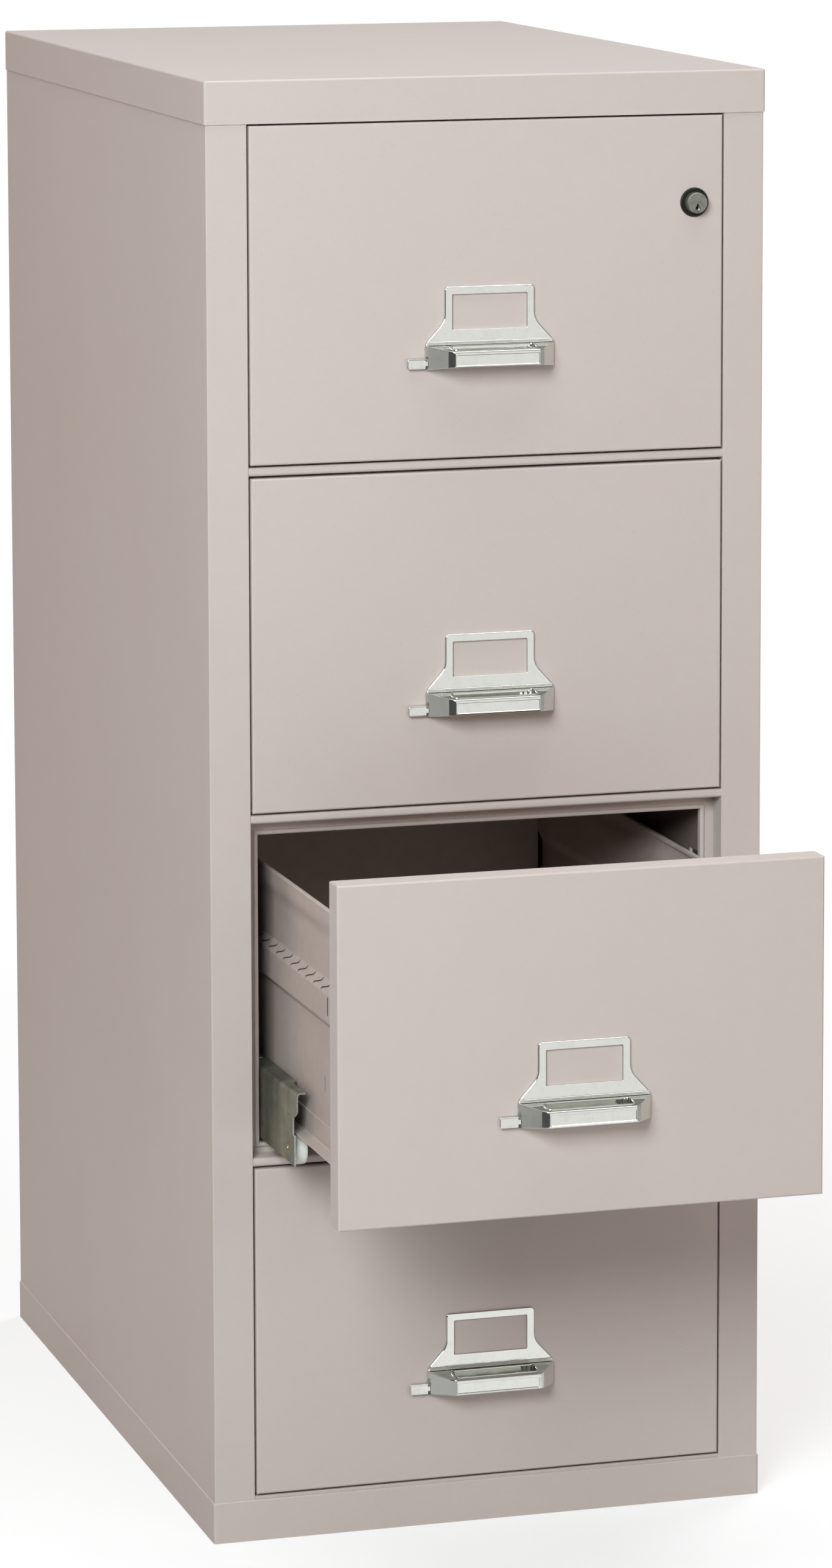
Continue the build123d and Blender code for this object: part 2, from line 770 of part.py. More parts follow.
def thumb_latch(drawer):
    """Thumb tab left of the handle, with its bar, the stem through the front and the bolt rod."""
    z = front_bottom(drawer)
    foot = plate_foot_width / 2
    half = latch_bar_size / 2
    bar_z = z + (tab_low_rise + tab_high_rise) / 2
    stem_x = -foot + latch_stem_inset
    tab_front, tab_back = behind(-tab_stand_off - latch_bar_size), behind(-tab_stand_off)
    tab_x = (-foot - tab_width, -foot - latch_clearance / 2)
    tab = block(tab_x, (tab_front, tab_front + tab_thickness), (z + tab_low_rise, z + tab_high_rise))
    tab = fillet(edges_beside(tab, Axis.Y, (tab_x[0], None, None), 0.1), tab_corner_radius)
    fold_x = (tab_x[0] + tab_corner_radius, tab_x[1])
    fold = block(fold_x, (tab_front, tab_back), (z + tab_high_rise - tab_thickness / 2, z + tab_high_rise))
    bar_span = (bar_z - half, bar_z + half)
    bar = block((tab_x[1] - half, stem_x - half), (tab_front, tab_back), bar_span)
    stem = block((stem_x - half, stem_x + half), (tab_front, behind(latch_rod_behind + half)), bar_span)
    rod_span = (behind(latch_rod_behind - half), behind(latch_rod_behind + half))
    bolt = block((latch_bead_gap - bead_half, stem_x - half), rod_span, bar_span)
    return Compound(children=[tab + fold + bar, stem, bolt])


# Lock

def lock_bezel():
    """Flanged sleeve in the top drawer's front."""
    x, z = lock_place()
    flange = rod((x, behind(-bezel_proud), z), bezel_radius, bezel_proud, (0, 1, 0))
    flange = chamfer([flange.edges().filter_by(GeomType.CIRCLE).sort_by(Axis.Y)[0]], bezel_bevel)
    sleeve = rod((x, behind(0), z), lock_body_radius, lock_body_length, (0, 1, 0))
    bore_length = lock_body_length + bezel_proud + 2
    bore = rod((x, behind(-bezel_proud - 1), z), plunger_radius + plunger_clearance, bore_length, (0, 1, 0))
    return flange + sleeve - bore


def lock_plunger():
    """Cylinder that is pushed in to lock, with the bent link that lifts the bar."""
    x, z = lock_place()
    start = -plunger_stand_out
    end = lock_body_length + link_size
    plunger = rod((x, behind(start), z), plunger_radius, lock_body_length - start, (0, 1, 0))
    plunger = chamfer([plunger.edges().filter_by(GeomType.CIRCLE).sort_by(Axis.Y)[0]], plunger_bevel)
    bore_radius = key_plug_radius + plunger_clearance
    plunger -= rod((x, behind(start - 1), z - key_plug_drop), bore_radius, key_plug_length + 1, (0, 1, 0))
    half = link_size / 2
    link = block((x, link_tip_x), (behind(lock_body_length), behind(end)), (z - half, z + half))
    tail_x = (link_tip_x - link_tail_width, link_tip_x)
    tail = block(tail_x, (behind(end), behind(link_tail)), (z - half, z + half))
    return Compound(children=[plunger, link, tail])


def key_plug():
    """Turning core with a keyhole, low in the plunger's face."""
    x, z = lock_place()
    centre_z = z - key_plug_drop
    start = -plunger_stand_out - key_plug_proud
    length = key_plug_length - start - plunger_stand_out
    plug = rod((x, behind(start), centre_z), key_plug_radius, length, (0, 1, 0))
    hole_x = (x - keyhole_width / 2, x + keyhole_width / 2)
    hole_z = (centre_z - keyhole_height / 2, centre_z + keyhole_height / 2)
    return plug - block(hole_x, (behind(start - 1), behind(start + keyhole_depth)), hole_z)


def lock_bar():
    """Upright bar in the right wall with a hook for each drawer and the wedge that lifts it."""
    bar_x = (bar_inner_x, bar_outer_x)
    y_span = (behind(bar_behind), behind(bar_behind + bar_width))
    low = body_floor + bar_end_gap + bar_guide_height / 2
    high = body_top - bar_end_gap - lock_travel - bar_guide_height / 2
    solids = [block(bar_x, y_span, (low, high))]
    for drawer in range(1, drawer_count + 1):
        top = front_bottom(drawer) + hook_top_rise
        hook_y = (behind(hook_behind), behind(hook_behind + hook_thickness))
        solids.append(block((hook_tip_x, bar_inner_x), hook_y, (top - hook_height, top)))
    # the wedge's front slopes at 45 degrees, so the bar rises as far as the lock moves in
    x, z = lock_place()
    tail_y = link_tail + wedge_clearance
    half = link_size / 2
    high_z = z + half + wedge_back
    face = [
        (behind(tail_y - wedge_back), high_z),
        (behind(tail_y - wedge_back + wedge_height), high_z - wedge_height),
        (behind(tail_y - wedge_back + wedge_height), high_z),
    ]
    outline = Polyline(*[(wedge_inner_x, y, rise) for y, rise in face], close=True)
    solids.append(extrude(make_face(outline), bar_inner_x - wedge_inner_x, dir=(1, 0, 0)))
    return Compound(children=solids)


def lock_bar_guides():
    """Blocks in the wall that the bar slides through."""
    shaft_x = (liner_half, bar_outer_x + bar_guide_wall)
    room = bar_guide_clearance
    way_x = (bar_inner_x - room, bar_outer_x + room)
    way_y = (behind(bar_behind) - room, behind(bar_behind + bar_width) + room)
    levels = [body_floor + bar_end_gap, body_top - bar_end_gap - bar_guide_height]
    levels += [front_bottom(drawer) - bar_guide_height / 2 for drawer in range(1, drawer_count)]
    guides = []
    for low in levels:
        z_span = (low, low + bar_guide_height)
        guides.append(block(shaft_x, bar_shaft_y, z_span) - block(way_x, way_y, z_span))
    return Compound(children=guides)


nodes["top_cover"] = cap(lid_bottom, height, -1)
nodes["base_plinth"] = cap(0, plinth_height, 1)
nodes["side_panel_left"] = side_panel(-1)
nodes["side_panel_right"] = side_panel(1)
nodes["back_panel"] = back_panel()
nodes["sill_strip"] = edge_strip(body_floor, lowest_front_z - rail_gap, False)
nodes["header_strip"] = edge_strip(front_bottom(1) + front_height + rail_gap, body_top, True)
nodes["insulation_walls"] = insulation_walls()
nodes["insulation_decks"] = insulation_decks()
nodes["lock_bar"] = lock_bar()
nodes["lock_bar_guides"] = lock_bar_guides()
nodes["lock_bezel"] = lock_bezel()
nodes["lock_plunger"] = lock_plunger()
nodes["key_plug"] = key_plug()

for number in range(1, drawer_count):
    nodes[f"drawer_rail_{number}"] = drawer_rail(number)

channels = []
for number in range(1, drawer_count + 1):
    channels.append(on_both_sides(slide_channel(number)))
    nodes[f"cell_frame_{number}"] = cell_frame(number)
    nodes[f"cell_liner_{number}"] = cell_liner(number)
    nodes[f"drawer_front_{number}"] = pulled(drawer_front(number), number)
    nodes[f"drawer_head_{number}"] = pulled(drawer_head(number), number)
    nodes[f"drawer_tray_{number}"] = pulled(drawer_tray(number), number)
    nodes[f"handle_{number}"] = pulled(drawer_handle(number), number)
    nodes[f"thumb_latch_{number}"] = pulled(thumb_latch(number), number)
    nodes[f"slide_arms_{number}"] = pulled(on_both_sides(slide_arm(number)), number, arm_share)
    nodes[f"front_rollers_{number}"] = pulled(slide_rollers(number, 0), number, arm_share)
    nodes[f"rear_rollers_{number}"] = pulled(slide_rollers(number, 1), number, arm_share)
nodes["slide_channels"] = Compound(children=channels)

for name, shape in nodes.items():
    export_step(shape, f"parts/{name}.step")
print(len(nodes), "nodes")
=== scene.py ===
import math
import random

import bmesh
import bpy
from mathutils import Matrix, Vector, noise


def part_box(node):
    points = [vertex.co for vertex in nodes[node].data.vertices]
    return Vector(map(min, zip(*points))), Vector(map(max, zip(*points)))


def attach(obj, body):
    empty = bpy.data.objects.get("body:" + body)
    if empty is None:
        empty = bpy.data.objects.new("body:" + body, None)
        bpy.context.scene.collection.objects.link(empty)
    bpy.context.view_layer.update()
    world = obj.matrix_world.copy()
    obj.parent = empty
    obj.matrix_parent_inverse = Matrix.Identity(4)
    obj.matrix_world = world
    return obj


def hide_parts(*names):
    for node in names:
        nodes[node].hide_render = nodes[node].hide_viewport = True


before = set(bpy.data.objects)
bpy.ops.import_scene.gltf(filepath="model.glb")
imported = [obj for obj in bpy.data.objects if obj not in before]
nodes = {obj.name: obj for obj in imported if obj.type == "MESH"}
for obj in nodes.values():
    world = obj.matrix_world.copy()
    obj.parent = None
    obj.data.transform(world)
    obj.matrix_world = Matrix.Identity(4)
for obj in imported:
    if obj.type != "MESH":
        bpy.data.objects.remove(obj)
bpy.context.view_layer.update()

mm = 0.001
print("frame loaded:", len(nodes), "nodes")


# Places taken from the CAD nodes, all in metres

def nodeBox(name):
    low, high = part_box(name)
    return Vector(low), Vector(high)


drawers = (1, 2, 3, 4)
frontLow = {n: nodeBox(f"drawer_front_{n}")[0] for n in drawers}
trayLow = {n: nodeBox(f"drawer_tray_{n}")[0] for n in drawers}
trayHigh = {n: nodeBox(f"drawer_tray_{n}")[1] for n in drawers}


def metres(rows):
    # Rows of millimetres as tuples of metres
    return [tuple(value * mm for value in row) for row in rows]


# Shader nodes and finishes

class Wire:
    # A socket of a node tree that can be used in Python expressions

    def __init__(self, tree, socket):
        self.tree = tree
        self.socket = socket

    def maths(self, operation, other=None, swap=False):
        node = self.tree.nodes.new("ShaderNodeMath")
        node.operation = operation
        for place, value in enumerate((other, self) if swap else (self, other)):
            if isinstance(value, Wire):
                self.tree.links.new(value.socket, node.inputs[place])
            elif value is not None:
                node.inputs[place].default_value = value
        return Wire(self.tree, node.outputs[0])

    def __add__(self, other):
        return self.maths("ADD", other)

    def __sub__(self, other):
        return self.maths("SUBTRACT", other)

    def __rsub__(self, other):
        return self.maths("SUBTRACT", other, swap=True)

    def __mul__(self, other):
        return self.maths("MULTIPLY", other)

    def __truediv__(self, other):
        return self.maths("DIVIDE", other)

    def __neg__(self):
        return self.maths("MULTIPLY", -1.0)

    __radd__ = __add__

    def clamp(self):
        return self.maths("MAXIMUM", 0.0).maths("MINIMUM", 1.0)

    def smooth(self, low, high):
        # 0 below low, 1 above high
        return ((self - low) * (1.0 / (high - low))).clamp()


class Graph:
    # A node tree under construction

    def __init__(self, tree, outKind):
        self.tree = tree
        tree.nodes.clear()
        self.out = tree.nodes.new(outKind)

    def put(self, socket, value):
        if isinstance(value, Wire):
            self.tree.links.new(value.socket, socket)
        elif socket.type == "RGBA":
            socket.default_value = (*value, 1.0)
        else:
            socket.default_value = value

    def node(self, kind, inputs, output=0, **settings):
        # Adds any node, with values or links for its sockets; None leaves a socket alone
        node = self.tree.nodes.new(kind)
        for key, value in settings.items():
            setattr(node, key, value)
        for key, value in inputs.items():
            if value is not None:
                self.put(node.inputs[key], value)
        return Wire(self.tree, node.outputs[output])

    def show(self, surface):
        self.put(self.out.inputs["Surface"], surface)

    def blend(self, amount, first, second):
        # Shader between two shaders
        return self.node("ShaderNodeMixShader", {0: amount, 1: first, 2: second})

    def axes(self, vector):
        split = self.node("ShaderNodeSeparateXYZ", {0: vector}).socket.node
        return [Wire(self.tree, socket) for socket in split.outputs]

    def rays(self):
        # Whether a ray comes from the camera, and whether off metal or through glass
        path = self.tree.nodes.new("ShaderNodeLightPath")
        names = ("Is Camera Ray", "Is Glossy Ray", "Is Transmission Ray")
        camera, glossy, through = (Wire(self.tree, path.outputs[name]) for name in names)
        return camera, (glossy + through).clamp()


class Finish(Graph):
    # A material under construction, in the object's own coordinates

    def __init__(self, name):
        self.material = bpy.data.materials.new(name)
        self.material.use_nodes = True
        super().__init__(self.material.node_tree, "ShaderNodeOutputMaterial")
        self.position = self.node("ShaderNodeTexCoord", {}, "Object")

    def surface(self, colour, rough, more):
        return self.node("ShaderNodeBsdfPrincipled", {"Base Color": colour, "Roughness": rough, **more})

    def coat(self, colour, rough, normal=None, more=None):
        # Gives the material its surface; more holds the values of other sockets
        self.show(self.surface(colour, rough, {"Normal": normal, **(more or {})}))
        return self.material

    def vector(self, operation, *values):
        output = "Value" if operation == "LENGTH" else "Vector"
        return self.node("ShaderNodeVectorMath", dict(enumerate(values)), output, operation=operation)

    def scaled(self, *factors):
        return self.vector("MULTIPLY", self.position, factors)

    def noise(self, scale, detail=3.0, roughness=0.5, vector=None, distortion=0.0):
        inputs = {"Scale": scale, "Detail": detail, "Roughness": roughness, "Distortion": distortion}
        return self.node("ShaderNodeTexNoise", {"Vector": vector or self.position, **inputs}, "Fac")

    def mix(self, amount, first, second):
        # Colour between two colours; 6 and 7 are the mixing node's colour sockets, 2 its colour output
        return self.node("ShaderNodeMix", {0: amount, 6: first, 7: second}, 2, data_type="RGBA")

    def bump(self, height, strength, distance, normal=None):
        inputs = {"Height": height, "Strength": strength, "Distance": distance, "Normal": normal}
        return self.node("ShaderNodeBump", inputs, "Normal")


def linear(red, green, blue):
    # Linear colour of an sRGB colour out of 255
    values = []
    for part in (red, green, blue):
        part /= 255
        values.append(part / 12.92 if part <= 0.04045 else ((part + 0.055) / 1.055) ** 2.4)
    return tuple(values)


paintLook = {
    "grainScale": 1500.0,
    "grainDepth": 0.00006,
    "waveScale": 9.0,
    "waveDepth": 0.0004,
    "shine": {"Specular IOR Level": 0.22},
}


def sprayedPaint(name, colour, shade, rough, wear=0.25):
    # Sprayed enamel on folded sheet: orange peel, slow oil-canning, faint handling marks
    look = paintLook
    f = Finish(name)
    mottling = f.noise(3.2, 3.0, 0.55)
    fine = f.noise(85.0, 3.0, 0.6)
    tone = f.mix((mottling * 0.7 + fine * 0.3).smooth(0.3, 0.7), colour, shade)
    handled = f.noise(6.5, 5.0, 0.62, distortion=0.4).smooth(0.52, 0.72)
    peel = f.noise(look["grainScale"], 2.0, 0.5)
    wave = f.noise(look["waveScale"], 1.0, 0.4)
    speck = f.noise(620.0, 1.0, 0.3).smooth(0.7, 0.78)
    base = f.mix(speck * 0.22, tone, tuple(c * 0.62 for c in colour))
    worn = f.mix(handled * wear * 0.3, base, tuple(min(1.0, c * 1.1) for c in colour))
    normal = f.bump(peel, 0.5, look["grainDepth"], f.bump(wave, 0.35, look["waveDepth"]))
    return f.coat(worn, rough + handled * 0.07 + peel * 0.05 - fine * 0.03, normal, look["shine"])


def zincFinish():
    # Zinc-plated strip: drawn lines along the drawer, cloudy passivation, upright run marks
    f = Finish("zincPlate")
    drawn = f.noise(1.0, 4.0, 0.6, f.scaled(260.0, 9.0, 420.0))
    cloud = f.noise(24.0, 4.0, 0.62, distortion=0.8)
    runs = f.noise(1.0, 2.0, 0.5, f.scaled(20.0, 55.0, 7.0))
    tone = f.mix((cloud * 0.5 + runs * 0.5).smooth(0.38, 0.62), linear(157, 160, 148), linear(110, 114, 101))
    tone = f.mix(f.noise(11.0, 2.0, 0.5).smooth(0.52, 0.72) * 0.3, tone, linear(152, 144, 116))
    scratch = f.noise(1.0, 2.0, 0.4, f.scaled(300.0, 60.0, 420.0)).smooth(0.72, 0.76)
    tone = f.mix(scratch * 0.3, tone, linear(186, 188, 180))
    grease = f.noise(45.0, 3.0, 0.6).smooth(0.62, 0.74)
    tone = f.mix(grease * 0.4, tone, linear(72, 70, 62))
    rough = 0.34 + drawn * 0.16 + grease * 0.12 + cloud * 0.08
    return f.coat(tone, rough, f.bump(drawn, 0.3, 0.00008), {"Metallic": 0.9})


def chromeFinish(name, rough, cloudiness):
    # Plated die casting: slight waviness, buffing lines and a little haze
    f = Finish(name)
    wave = f.noise(42.0, 2.0, 0.5)
    buff = f.noise(1.0, 3.0, 0.6, f.scaled(900.0, 160.0, 160.0))
    haze = f.noise(95.0, 4.0, 0.6).smooth(0.48, 0.7)
    pits = f.noise(700.0, 1.0, 0.3).smooth(0.74, 0.8)
    tone = f.mix(haze * cloudiness, linear(218, 219, 213), linear(190, 191, 186))
    tone = f.mix(pits * 0.3, tone, linear(120, 120, 116))
    normal = f.bump(buff, 0.12, 0.00003, f.bump(wave, 0.5, 0.00035))
    return f.coat(tone, rough + haze * 0.1 * cloudiness + buff * 0.05, normal, {"Metallic": 1.0})


def nylonFinish():
    f = Finish("rollerNylon")
    cloud = f.noise(60.0, 3.0, 0.55)
    scuff = f.noise(1.0, 3.0, 0.6, f.scaled(900.0, 90.0, 90.0)).smooth(0.5, 0.75)
    tone = f.mix(cloud.smooth(0.3, 0.7), linear(236, 238, 234), linear(222, 224, 214))
    tone = f.mix(scuff * 0.25, tone, linear(176, 176, 168))
    depth = {"Subsurface Weight": 0.15, "Subsurface Radius": (0.004, 0.004, 0.0035)}
    return f.coat(tone, 0.38 + scuff * 0.15, f.bump(scuff, 0.2, 0.00006), depth)


def plasterFinish():
    f = Finish("castInsulation")
    grain = f.noise(240.0, 5.0, 0.65)
    pores = f.noise(120.0, 2.0, 0.5).smooth(0.66, 0.72)
    tone = f.mix(grain, linear(222, 218, 206), linear(198, 192, 178))
    tone = f.mix(pores * 0.6, tone, linear(150, 144, 132))
    return f.coat(tone, 0.92 - grain * 0.06, f.bump(grain - pores * 0.8, 0.6, 0.0006))


def lockSteelFinish(centre):
    # Turned nickel face: rings round the lock's axis
    f = Finish("turnedNickel")
    flat = f.vector("MULTIPLY", f.vector("SUBTRACT", f.position, centre), (1.0, 0.0, 1.0))
    rings = (f.vector("LENGTH", flat) * 9000.0).maths("SINE") * 0.5 + 0.5
    cloud = f.noise(180.0, 3.0, 0.6)
    tone = f.mix(cloud.smooth(0.3, 0.7), linear(150, 150, 141), linear(124, 124, 115))
    normal = f.bump(rings * 0.4 + cloud * 0.6, 0.3, 0.00006)
    return f.coat(tone, 0.42 + cloud * 0.14 + rings * 0.04, normal, {"Metallic": 0.95})


def grainedFinish(name, grain, span, tones, rough, relief=None, more=None):
    # One fine grain between two tones; rough is the least roughness and what the grain adds
    f = Finish(name)
    grain = f.noise(*grain)
    tone = f.mix(grain.smooth(*span) if span else grain, *(linear(*tone) for tone in tones))
    return f.coat(tone, rough[0] + grain * rough[1], f.bump(grain, *relief) if relief else None, more)


enamel = sprayedPaint("sprayedEnamel", linear(203, 192, 185), linear(200, 188, 181), 0.46)
trayEnamel = sprayedPaint("trayEnamel", linear(194, 182, 174), linear(172, 159, 151), 0.4, wear=0.9)
# The cells' liners: the beige enamel darkened, as painted shade deep inside the cells
linerPaintedShade = sprayedPaint("linerPaintedShade", linear(132, 119, 111), linear(116, 104, 96), 0.6)
zinc = zincFinish()
handleChrome = chromeFinish("handleChrome", 0.06, 0.2)
latchChrome = chromeFinish("latchChrome", 0.16, 0.5)
nylon = nylonFinish()
plaster = plasterFinish()
lockSteel = lockSteelFinish(tuple(sum(nodeBox("lock_bezel"), Vector()) / 2))
cutZinc = grainedFinish(
    "cutZinc", (900.0, 3.0, 0.6), (0.4, 0.7), ((190, 194, 190), (146, 150, 142)),
    (0.38, 0.2), (0.4, 0.00008), {"Metallic": 0.75},
)
axleSteel = grainedFinish(
    "axleSteel", (300.0, 3.0, 0.6), (0.35, 0.65), ((176, 166, 122), (104, 96, 72)),
    (0.24, 0.16), (0.4, 0.0002), {"Metallic": 1.0},
)
guidePlastic = grainedFinish(
    "guidePlastic", (400.0, 2.0, 0.5), None, ((214, 212, 202), (196, 194, 184)), (0.5, 0.1), (0.2, 0.0001),
)
blackLacquer = grainedFinish(
    "blackLacquer", (900.0, 3.0, 0.6), (0.5, 0.8), ((34, 34, 27), (58, 57, 47)),
    (0.3, 0.2), (0.15, 0.00004), {"Specular IOR Level": 0.35},
)
# Dark colour painted as the shade in the lances' openings and in the divider slots
slitShadow = grainedFinish(
    "slitShadow", (500.0, 2.0, 0.5), None, ((46, 40, 38), (70, 62, 58)), (0.7, 0.1),
)
print("finishes made")


# Finishes of the CAD nodes, by the starts of their names; the first that fits counts

finishOf = (
    (enamel, ("top_cover", "base_plinth", "side_panel", "back_panel", "sill_strip", "header_strip")),
    (enamel, ("drawer_rail", "cell_frame", "drawer_front", "drawer_head")),
    (linerPaintedShade, ("cell_liner",)),
    (trayEnamel, ("drawer_tray",)),
    (plaster, ("insulation",)),
    (guidePlastic, ("lock_bar_guides",)),
    (zinc, ("slide_channels", "slide_arms", "lock_bar")),
    (nylon, ("front_rollers", "rear_rollers")),
    (handleChrome, ("handle",)),
    (latchChrome, ("thumb_latch",)),
    (blackLacquer, ("lock_bezel",)),
    (lockSteel, ("lock_plunger", "key_plug")),
)
for name, thing in nodes.items():
    finish = next(finish for finish, starts in finishOf if name.startswith(starts))
    for slot in thing.material_slots:
        slot.material = finish
print("nodes finished")


# Mesh helpers

def addThing(name, data):
    thing = bpy.data.objects.new(name, data)
    bpy.context.collection.objects.link(thing)
    return thing


def asObject(name, mesh):
    bmesh.ops.recalc_face_normals(mesh, faces=mesh.faces)
    data = bpy.data.meshes.new(name)
    mesh.to_mesh(data)
    mesh.free()
    return addThing(name, data)


def addPiece(name, mesh, finish, body, smoothBelow=None):
    piece = asObject(name, mesh)
    data = piece.data
    data.materials.append(finish)
    if smoothBelow is not None:
        data.polygons.foreach_set("use_smooth", [True] * len(data.polygons))
        data.set_sharp_from_angle(angle=math.radians(smoothBelow))
        even = piece.modifiers.new("even shading", "WEIGHTED_NORMAL")
        even.keep_sharp = True
    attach(piece, body)
    return piece


def roundedOutline(corners, steps=6, closed=True):
    # Corners are (across, up, radius); each becomes an arc, but not the ends of an open line
    outline = []
    for place, (across, up, radius) in enumerate(corners):
        here = Vector((across, up))
        if not closed and place in (0, len(corners) - 1):
            outline.append(here)
            continue
        toBefore = (Vector(corners[place - 1][:2]) - here).normalized()
        toAfter = (Vector(corners[(place + 1) % len(corners)][:2]) - here).normalized()
        half = math.acos(max(-1.0, min(1.0, toBefore.dot(toAfter)))) / 2
        middle = here + (toBefore + toAfter).normalized() * radius / math.sin(half)
        first = here + toBefore * radius / math.tan(half) - middle
        last = here + toAfter * radius / math.tan(half) - middle
        start = math.atan2(first.y, first.x)
        turn = (math.atan2(last.y, last.x) - start + math.pi) % (2 * math.pi) - math.pi
        for step in range(steps + 1):
            angle = start + turn * step / steps
            outline.append(middle + Vector((math.cos(angle), math.sin(angle))) * radius)
    return outline


def rectangle(half, low, high, radius, steps=4):
    # Rounded outline, alike on both sides of the middle
    corners = ((half, low), (half, high), (-half, high), (-half, low))
    return roundedOutline([(across, up, radius) for across, up in corners], steps)


def shrunk(outline, distance):
    # Outline moved inwards, outwards where the distance is negative
    moved = []
    for place, point in enumerate(outline):
        along = (outline[(place + 1) % len(outline)] - outline[place - 1]).normalized()
        moved.append(point + Vector((-along.y, along.x)) * distance)
    return moved


def quarterRound(radius, steps):
    # (inset, rise) pairs of a rounded edge
    turns = [math.pi / 2 * step / steps for step in range(steps + 1)]
    return [(radius * (1 - math.cos(a)), radius * math.sin(a)) for a in turns]


def ringOf(mesh, points):
    return [mesh.verts.new(point) for point in points]


def joinRings(mesh, rings, closed=True):
    for first, second in zip(rings, rings[1:]):
        count = len(first)
        for k in range(count if closed else count - 1):
            mesh.faces.new((first[k], first[(k + 1) % count], second[(k + 1) % count], second[k]))


def bodyOf(mesh, rings):
    # Joins a row of rings and closes both its ends
    joinRings(mesh, rings)
    mesh.faces.new(rings[0])
    mesh.faces.new(rings[-1])


def fillBetween(mesh, *loops):
    pairs = [(ring[k - 1], ring[k]) for ring in loops for k in range(len(ring))]
    edges = [mesh.edges.get(pair) or mesh.edges.new(pair) for pair in pairs]
    bmesh.ops.triangle_fill(mesh, use_beauty=True, use_dissolve=True, edges=edges)


def sweep(mesh, path, outward, profile, closed=False, taper=1.0):
    # Sweeps (sideways, outward) profile points along a path, with its ends tapered
    rings = []
    last = len(path) - 1
    for place, point in enumerate(path):
        before = path[place - 1] if closed or place else path[0]
        after = path[(place + 1) % len(path)] if closed or place < last else path[last]
        side = (after - before).normalized().cross(outward).normalized()
        size = taper if place in (0, last) else 1.0
        rings.append(ringOf(mesh, [point + (side * s + outward * o) * size for s, o in profile]))
    if closed:
        joinRings(mesh, rings + rings[:1])
    else:
        bodyOf(mesh, rings)


def heading(line, k):
    # Direction of an open line at one of its points
    return (line[min(k + 1, len(line) - 1)] - line[max(k - 1, 0)]).normalized()


def foldedSheet(mesh, line, sheet, place, ends):
    # A bent line of (across, up) points made into sheet and drawn out between two ends
    back = []
    for k, point in enumerate(line):
        along = heading(line, k)
        back.append(point + Vector((-along.y, along.x)) * sheet)
    bodyOf(mesh, [ringOf(mesh, [place(p.x, p.y, end) for p in line + back[::-1]]) for end in ends])


def turned(mesh, profile, start, along, steps, closed=False):
    # Turns (radius, reach) pairs about the level axis that leaves start in the direction along
    rings = []
    aside = Vector((abs(along.y), abs(along.x), 0))
    for radius, reach in profile:
        ring = []
        for step in range(steps if radius else 1):
            turn = 2 * math.pi * step / steps
            ring.append(start + along * reach + aside * radius * math.cos(turn))
            ring[-1].z += radius * math.sin(turn)
        rings.append(ringOf(mesh, ring))
    for first, second in zip(rings, rings[1:] + rings[:1] if closed else rings[1:]):
        if len(first) == len(second):
            joinRings(mesh, [first, second])
        else:
            tip, ring = sorted((first, second), key=len)
            for k in range(steps):
                mesh.faces.new((tip[0], ring[k], ring[(k + 1) % steps]))


def box(mesh, low, high):
    corners = [(x, y, z) for z in (low[2], high[2]) for y in (low[1], high[1]) for x in (low[0], high[0])]
    v = ringOf(mesh, corners)
    for face in ((0, 1, 3, 2), (4, 6, 7, 5), (0, 4, 5, 1), (2, 3, 7, 6), (0, 2, 6, 4), (1, 5, 7, 3)):
        mesh.faces.new([v[k] for k in face])


def cutFrom(mesh, cutter):
    # Takes one closed mesh out of another and returns the rest
    whole, tool = asObject("whole", mesh), asObject("tool", cutter)
    cut = whole.modifiers.new("cut", "BOOLEAN")
    cut.operation, cut.solver, cut.object = "DIFFERENCE", "EXACT", tool
    depsgraph = bpy.context.evaluated_depsgraph_get()
    left = bpy.data.meshes.new_from_object(whole.evaluated_get(depsgraph))
    rest = bmesh.new()
    rest.from_mesh(left)
    for data in (whole.data, tool.data, left):
        bpy.data.meshes.remove(data)
    return rest


def addTo(mesh, other):
    data = bpy.data.meshes.new("part")
    other.to_mesh(data)
    other.free()
    mesh.from_mesh(data)
    bpy.data.meshes.remove(data)


# Handles: plate with a card window, moulded ridge, grip with a finger slot in its top

handleLook = {
    "thick": 2.8 * mm,
    "footHalf": 61.0 * mm,
    "neckHalf": 42.5 * mm,
    "low": 96.0 * mm,  # inside the grip
    "shoulder": 105.0 * mm,
    "shoulderRadius": 13.0 * mm,
    "neck": 125.25 * mm,
    "neckRadius": 17.0 * mm,
    "top": 156.1 * mm,
    "corner": 3.6 * mm,
    "rim": 1.3 * mm,
    "windowHalf": 35.3 * mm,
    "windowLow": 117.0 * mm,
    "windowHigh": 149.0 * mm,
    "windowCorner": 0.9 * mm,
    "windowRim": 0.45 * mm,
    "ridgeLow": 103.3 * mm,
    "ridgeBeads": 3,
    "ridgeBead": 0.52 * mm,
    "ridgeProud": 0.75 * mm,
    "ridgeRoot": (0.1 * mm, -0.4 * mm),  # beyond the outer beads, and into the plate
    "ridgeInset": 0.9 * mm,
    "ridgeFade": 1.4 * mm,
}

